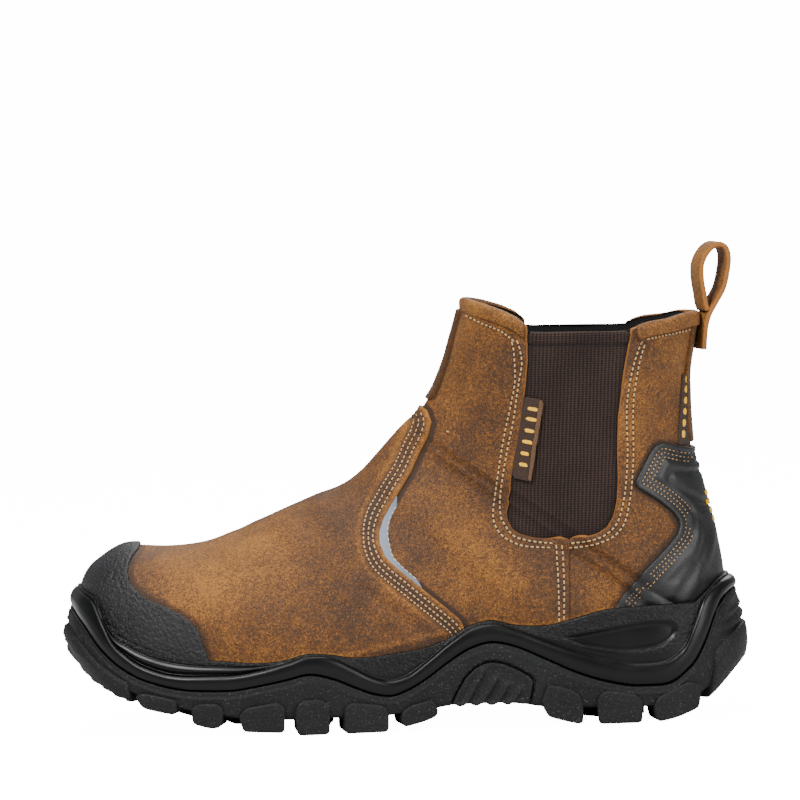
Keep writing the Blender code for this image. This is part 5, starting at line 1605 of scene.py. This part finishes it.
# Rows in mm, in side view: line, lift over the skin, thread, both sides
vampLine, counterLine = shares(vampEdge[2:]) / mm, shares(counterEdge[1:]) / mm
goreInner = [
    (208.6, 173.0), (209.8, 169.3), (210.7, 162.5), (209.4, 155.4), (208.3, 149.1), (206.2, 136.6),
    (203.1, 123.2), (200.5, 109.8), (199.2, 100), (199.6, 93.2), (201.3, 89.6), (203.9, 85.9),
    (207.9, 83.5), (219, 81.4), (232.5, 81.1), (243.8, 83.4), (250.7, 88.6), (253.6, 95.7), (255.7, 106),
    (257, 121.7), (256.9, 135.2), (257.7, 146.4), (260.3, 158.9), (263.7, 168.6), (265.1, 171),
]
goreOuter = [
    (206.4, 172.5), (207.3, 167), (207.4, 154.5), (205.5, 144.7), (202, 130), (199.4, 116.6),
    (197.2, 103.2), (196, 94.5), (197.2, 88.8), (200.3, 84.7), (204.2, 82.3), (208.7, 80.4), (214.5, 79.6),
    (228, 79.0), (234.7, 79.2), (241.5, 80.4), (246.9, 82.3), (250.6, 84.4), (253.4, 87.4), (255.2, 90.8),
    (256.6, 95.7), (258.4, 106), (259.6, 120), (259.8, 135.1), (260.5, 146), (263.1, 160), (266, 169.5),
]
rows = []
for inset in (-2.7, -5.0, -7.2):
    rows.append((offsetRow(vampLine, inset), panels["vampThick"] - 0.25, "brown"))
rows += [(goreInner, 0.05, "brown"), (goreOuter, 0.05, "brown")]
rows += [([(223.9, 80.6), (224.3, 63), (224.3, 45.8)], 0.85, "brown"),
         ([(226.6, 80.6), (226.9, 63), (226.4, 46.6)], 0.85, "brown"),
         ([(186, 183.8), (192.6, 180.6), (201.5, 176.9), (207.6, 172.3)], 0.1, "brown"),
         ([(267, 171.6), (275.5, 172.9), (287.6, 174.3)], 0.1, "brown")]
for inset in (2.7, 4.5, 6.3):
    rows.append((offsetRow(counterLine, -inset), panels["counterThick"] - 0.45, "dark"))
rows.append((offsetRow(crescentOuter / mm, -0.2), 0.75, "pale"))
paints = {"brown": brownThread, "dark": darkThread, "pale": paleThread}
stitchSize = (stitchLook["long"], stitchLook["wide"], stitchLook["tall"])
holeSize = (0.95 * mm, 0.9 * mm, 0.75 * mm)


def sewRows(name, lines, size, paint, shift):
    shape = stitchShape(name + "Shape", size, paint)
    finishPiece(laidRows(name, lines, shape, paint, stitchLook["pitch"], shift), "webbing")
    bpy.data.objects.remove(shape, do_unlink=True)


for kind, paint in paints.items():
    chosen = [(line, height) for line, height, which in rows if which == kind]
    lines = [lineOnSkin(line, sign, height * mm, 160) for line, height in chosen for sign in (-1, 1)]
    size = stitchSize if kind == "brown" else tuple(v * 0.75 for v in stitchSize)
    sewRows(kind + "Stitches", lines, size, paint, 0.0)
    # dark blobs between the stitches paint the shade in the needle holes
    if kind != "pale":
        sewRows(kind + "Holes", lines, holeSize, holeShadePaint, 0.5)
print("stitches ready")

# Insole keeps its solid and gets cloth
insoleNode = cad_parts["insole"]
for thing in insoleNode if isinstance(insoleNode, (list, tuple)) else [insoleNode]:
    thing.data.materials.clear()
    thing.data.materials.append(boardPaint)

# Floor, light and camera
light = {"world": 0.30, "backdrop": 16.0, "floor": 15.0, "key": 62, "fill": 36, "top": 32, "back": 10}
cameraLook = {"aim": (-0.0902, -0.025, 0.147), "elevation": 3.4, "distance": 3.4, "roll": -1.6,
              "frameWidth": 0.3592}

floorMesh = bpy.data.meshes.new("floor")
floorMesh.from_pydata([(-6, -6, 0), (6, -6, 0), (6, 6, 0), (-6, 6, 0)], [], [(0, 1, 2, 3)])
floorPaint, floorTree, floorShader = newMaterial("floorPale", (0.6, 0.6, 0.6), 0.9)
floorShader.inputs["Emission Color"].default_value = (1, 1, 1, 1)
seen = floorTree.nodes.new("ShaderNodeLightPath").outputs["Is Camera Ray"]
floorGlow = times(floorTree, seen, light["floor"])
floorTree.links.new(floorGlow, floorShader.inputs["Emission Strength"])
floorMesh.materials.append(floorPaint)
floor = addObject("floor", floorMesh)

world = bpy.data.worlds.new("paleRoom")
world.use_nodes = True
sky = world.node_tree.nodes["Background"]
sky.inputs["Color"].default_value = (0.95, 0.97, 1.0, 1)
path = world.node_tree.nodes.new("ShaderNodeLightPath")
level = world.node_tree.nodes.new("ShaderNodeMapRange")
level.inputs["To Min"].default_value = light["world"]
level.inputs["To Max"].default_value = light["backdrop"]
world.node_tree.links.new(path.outputs["Is Camera Ray"], level.inputs["Value"])
world.node_tree.links.new(level.outputs["Result"], sky.inputs["Strength"])
bpy.context.scene.world = world


def areaLight(name, place, aim, size, power):
    lamp = bpy.data.lights.new(name, "AREA")
    lamp.size = size
    lamp.energy = power
    thing = addObject(name, lamp)
    thing.location = place
    thing.rotation_euler = (Vector(aim) - Vector(place)).to_track_quat("-Z", "Y").to_euler()


middle = (-0.09, 0, 0.10)
areaLight("keyLight", (-0.9, -1.3, 1.5), middle, 0.7, light["key"])
areaLight("fillLight", (1.3, -1.2, 0.7), middle, 1.2, light["fill"])
areaLight("topLight", (-0.1, 0.1, 1.8), middle, 1.1, light["top"])
areaLight("backLight", (0.3, 1.4, 1.0), middle, 1.0, light["back"])

lens = bpy.data.cameras.new("photoCamera")
camera = addObject("photoCamera", lens)
aim = Vector(cameraLook["aim"])
lower = math.radians(cameraLook["elevation"])
back = Vector((0, -math.cos(lower), math.sin(lower))) * cameraLook["distance"]
camera.location = aim + back
turn = (-back).to_track_quat("-Z", "Y").to_matrix().to_4x4()
turn = turn @ Matrix.Rotation(math.radians(cameraLook["roll"]), 4, "Z")
camera.matrix_world = Matrix.Translation(camera.location) @ turn
lens.lens = 36 * cameraLook["distance"] / cameraLook["frameWidth"]
lens.clip_end = 30
bpy.context.scene.camera = camera

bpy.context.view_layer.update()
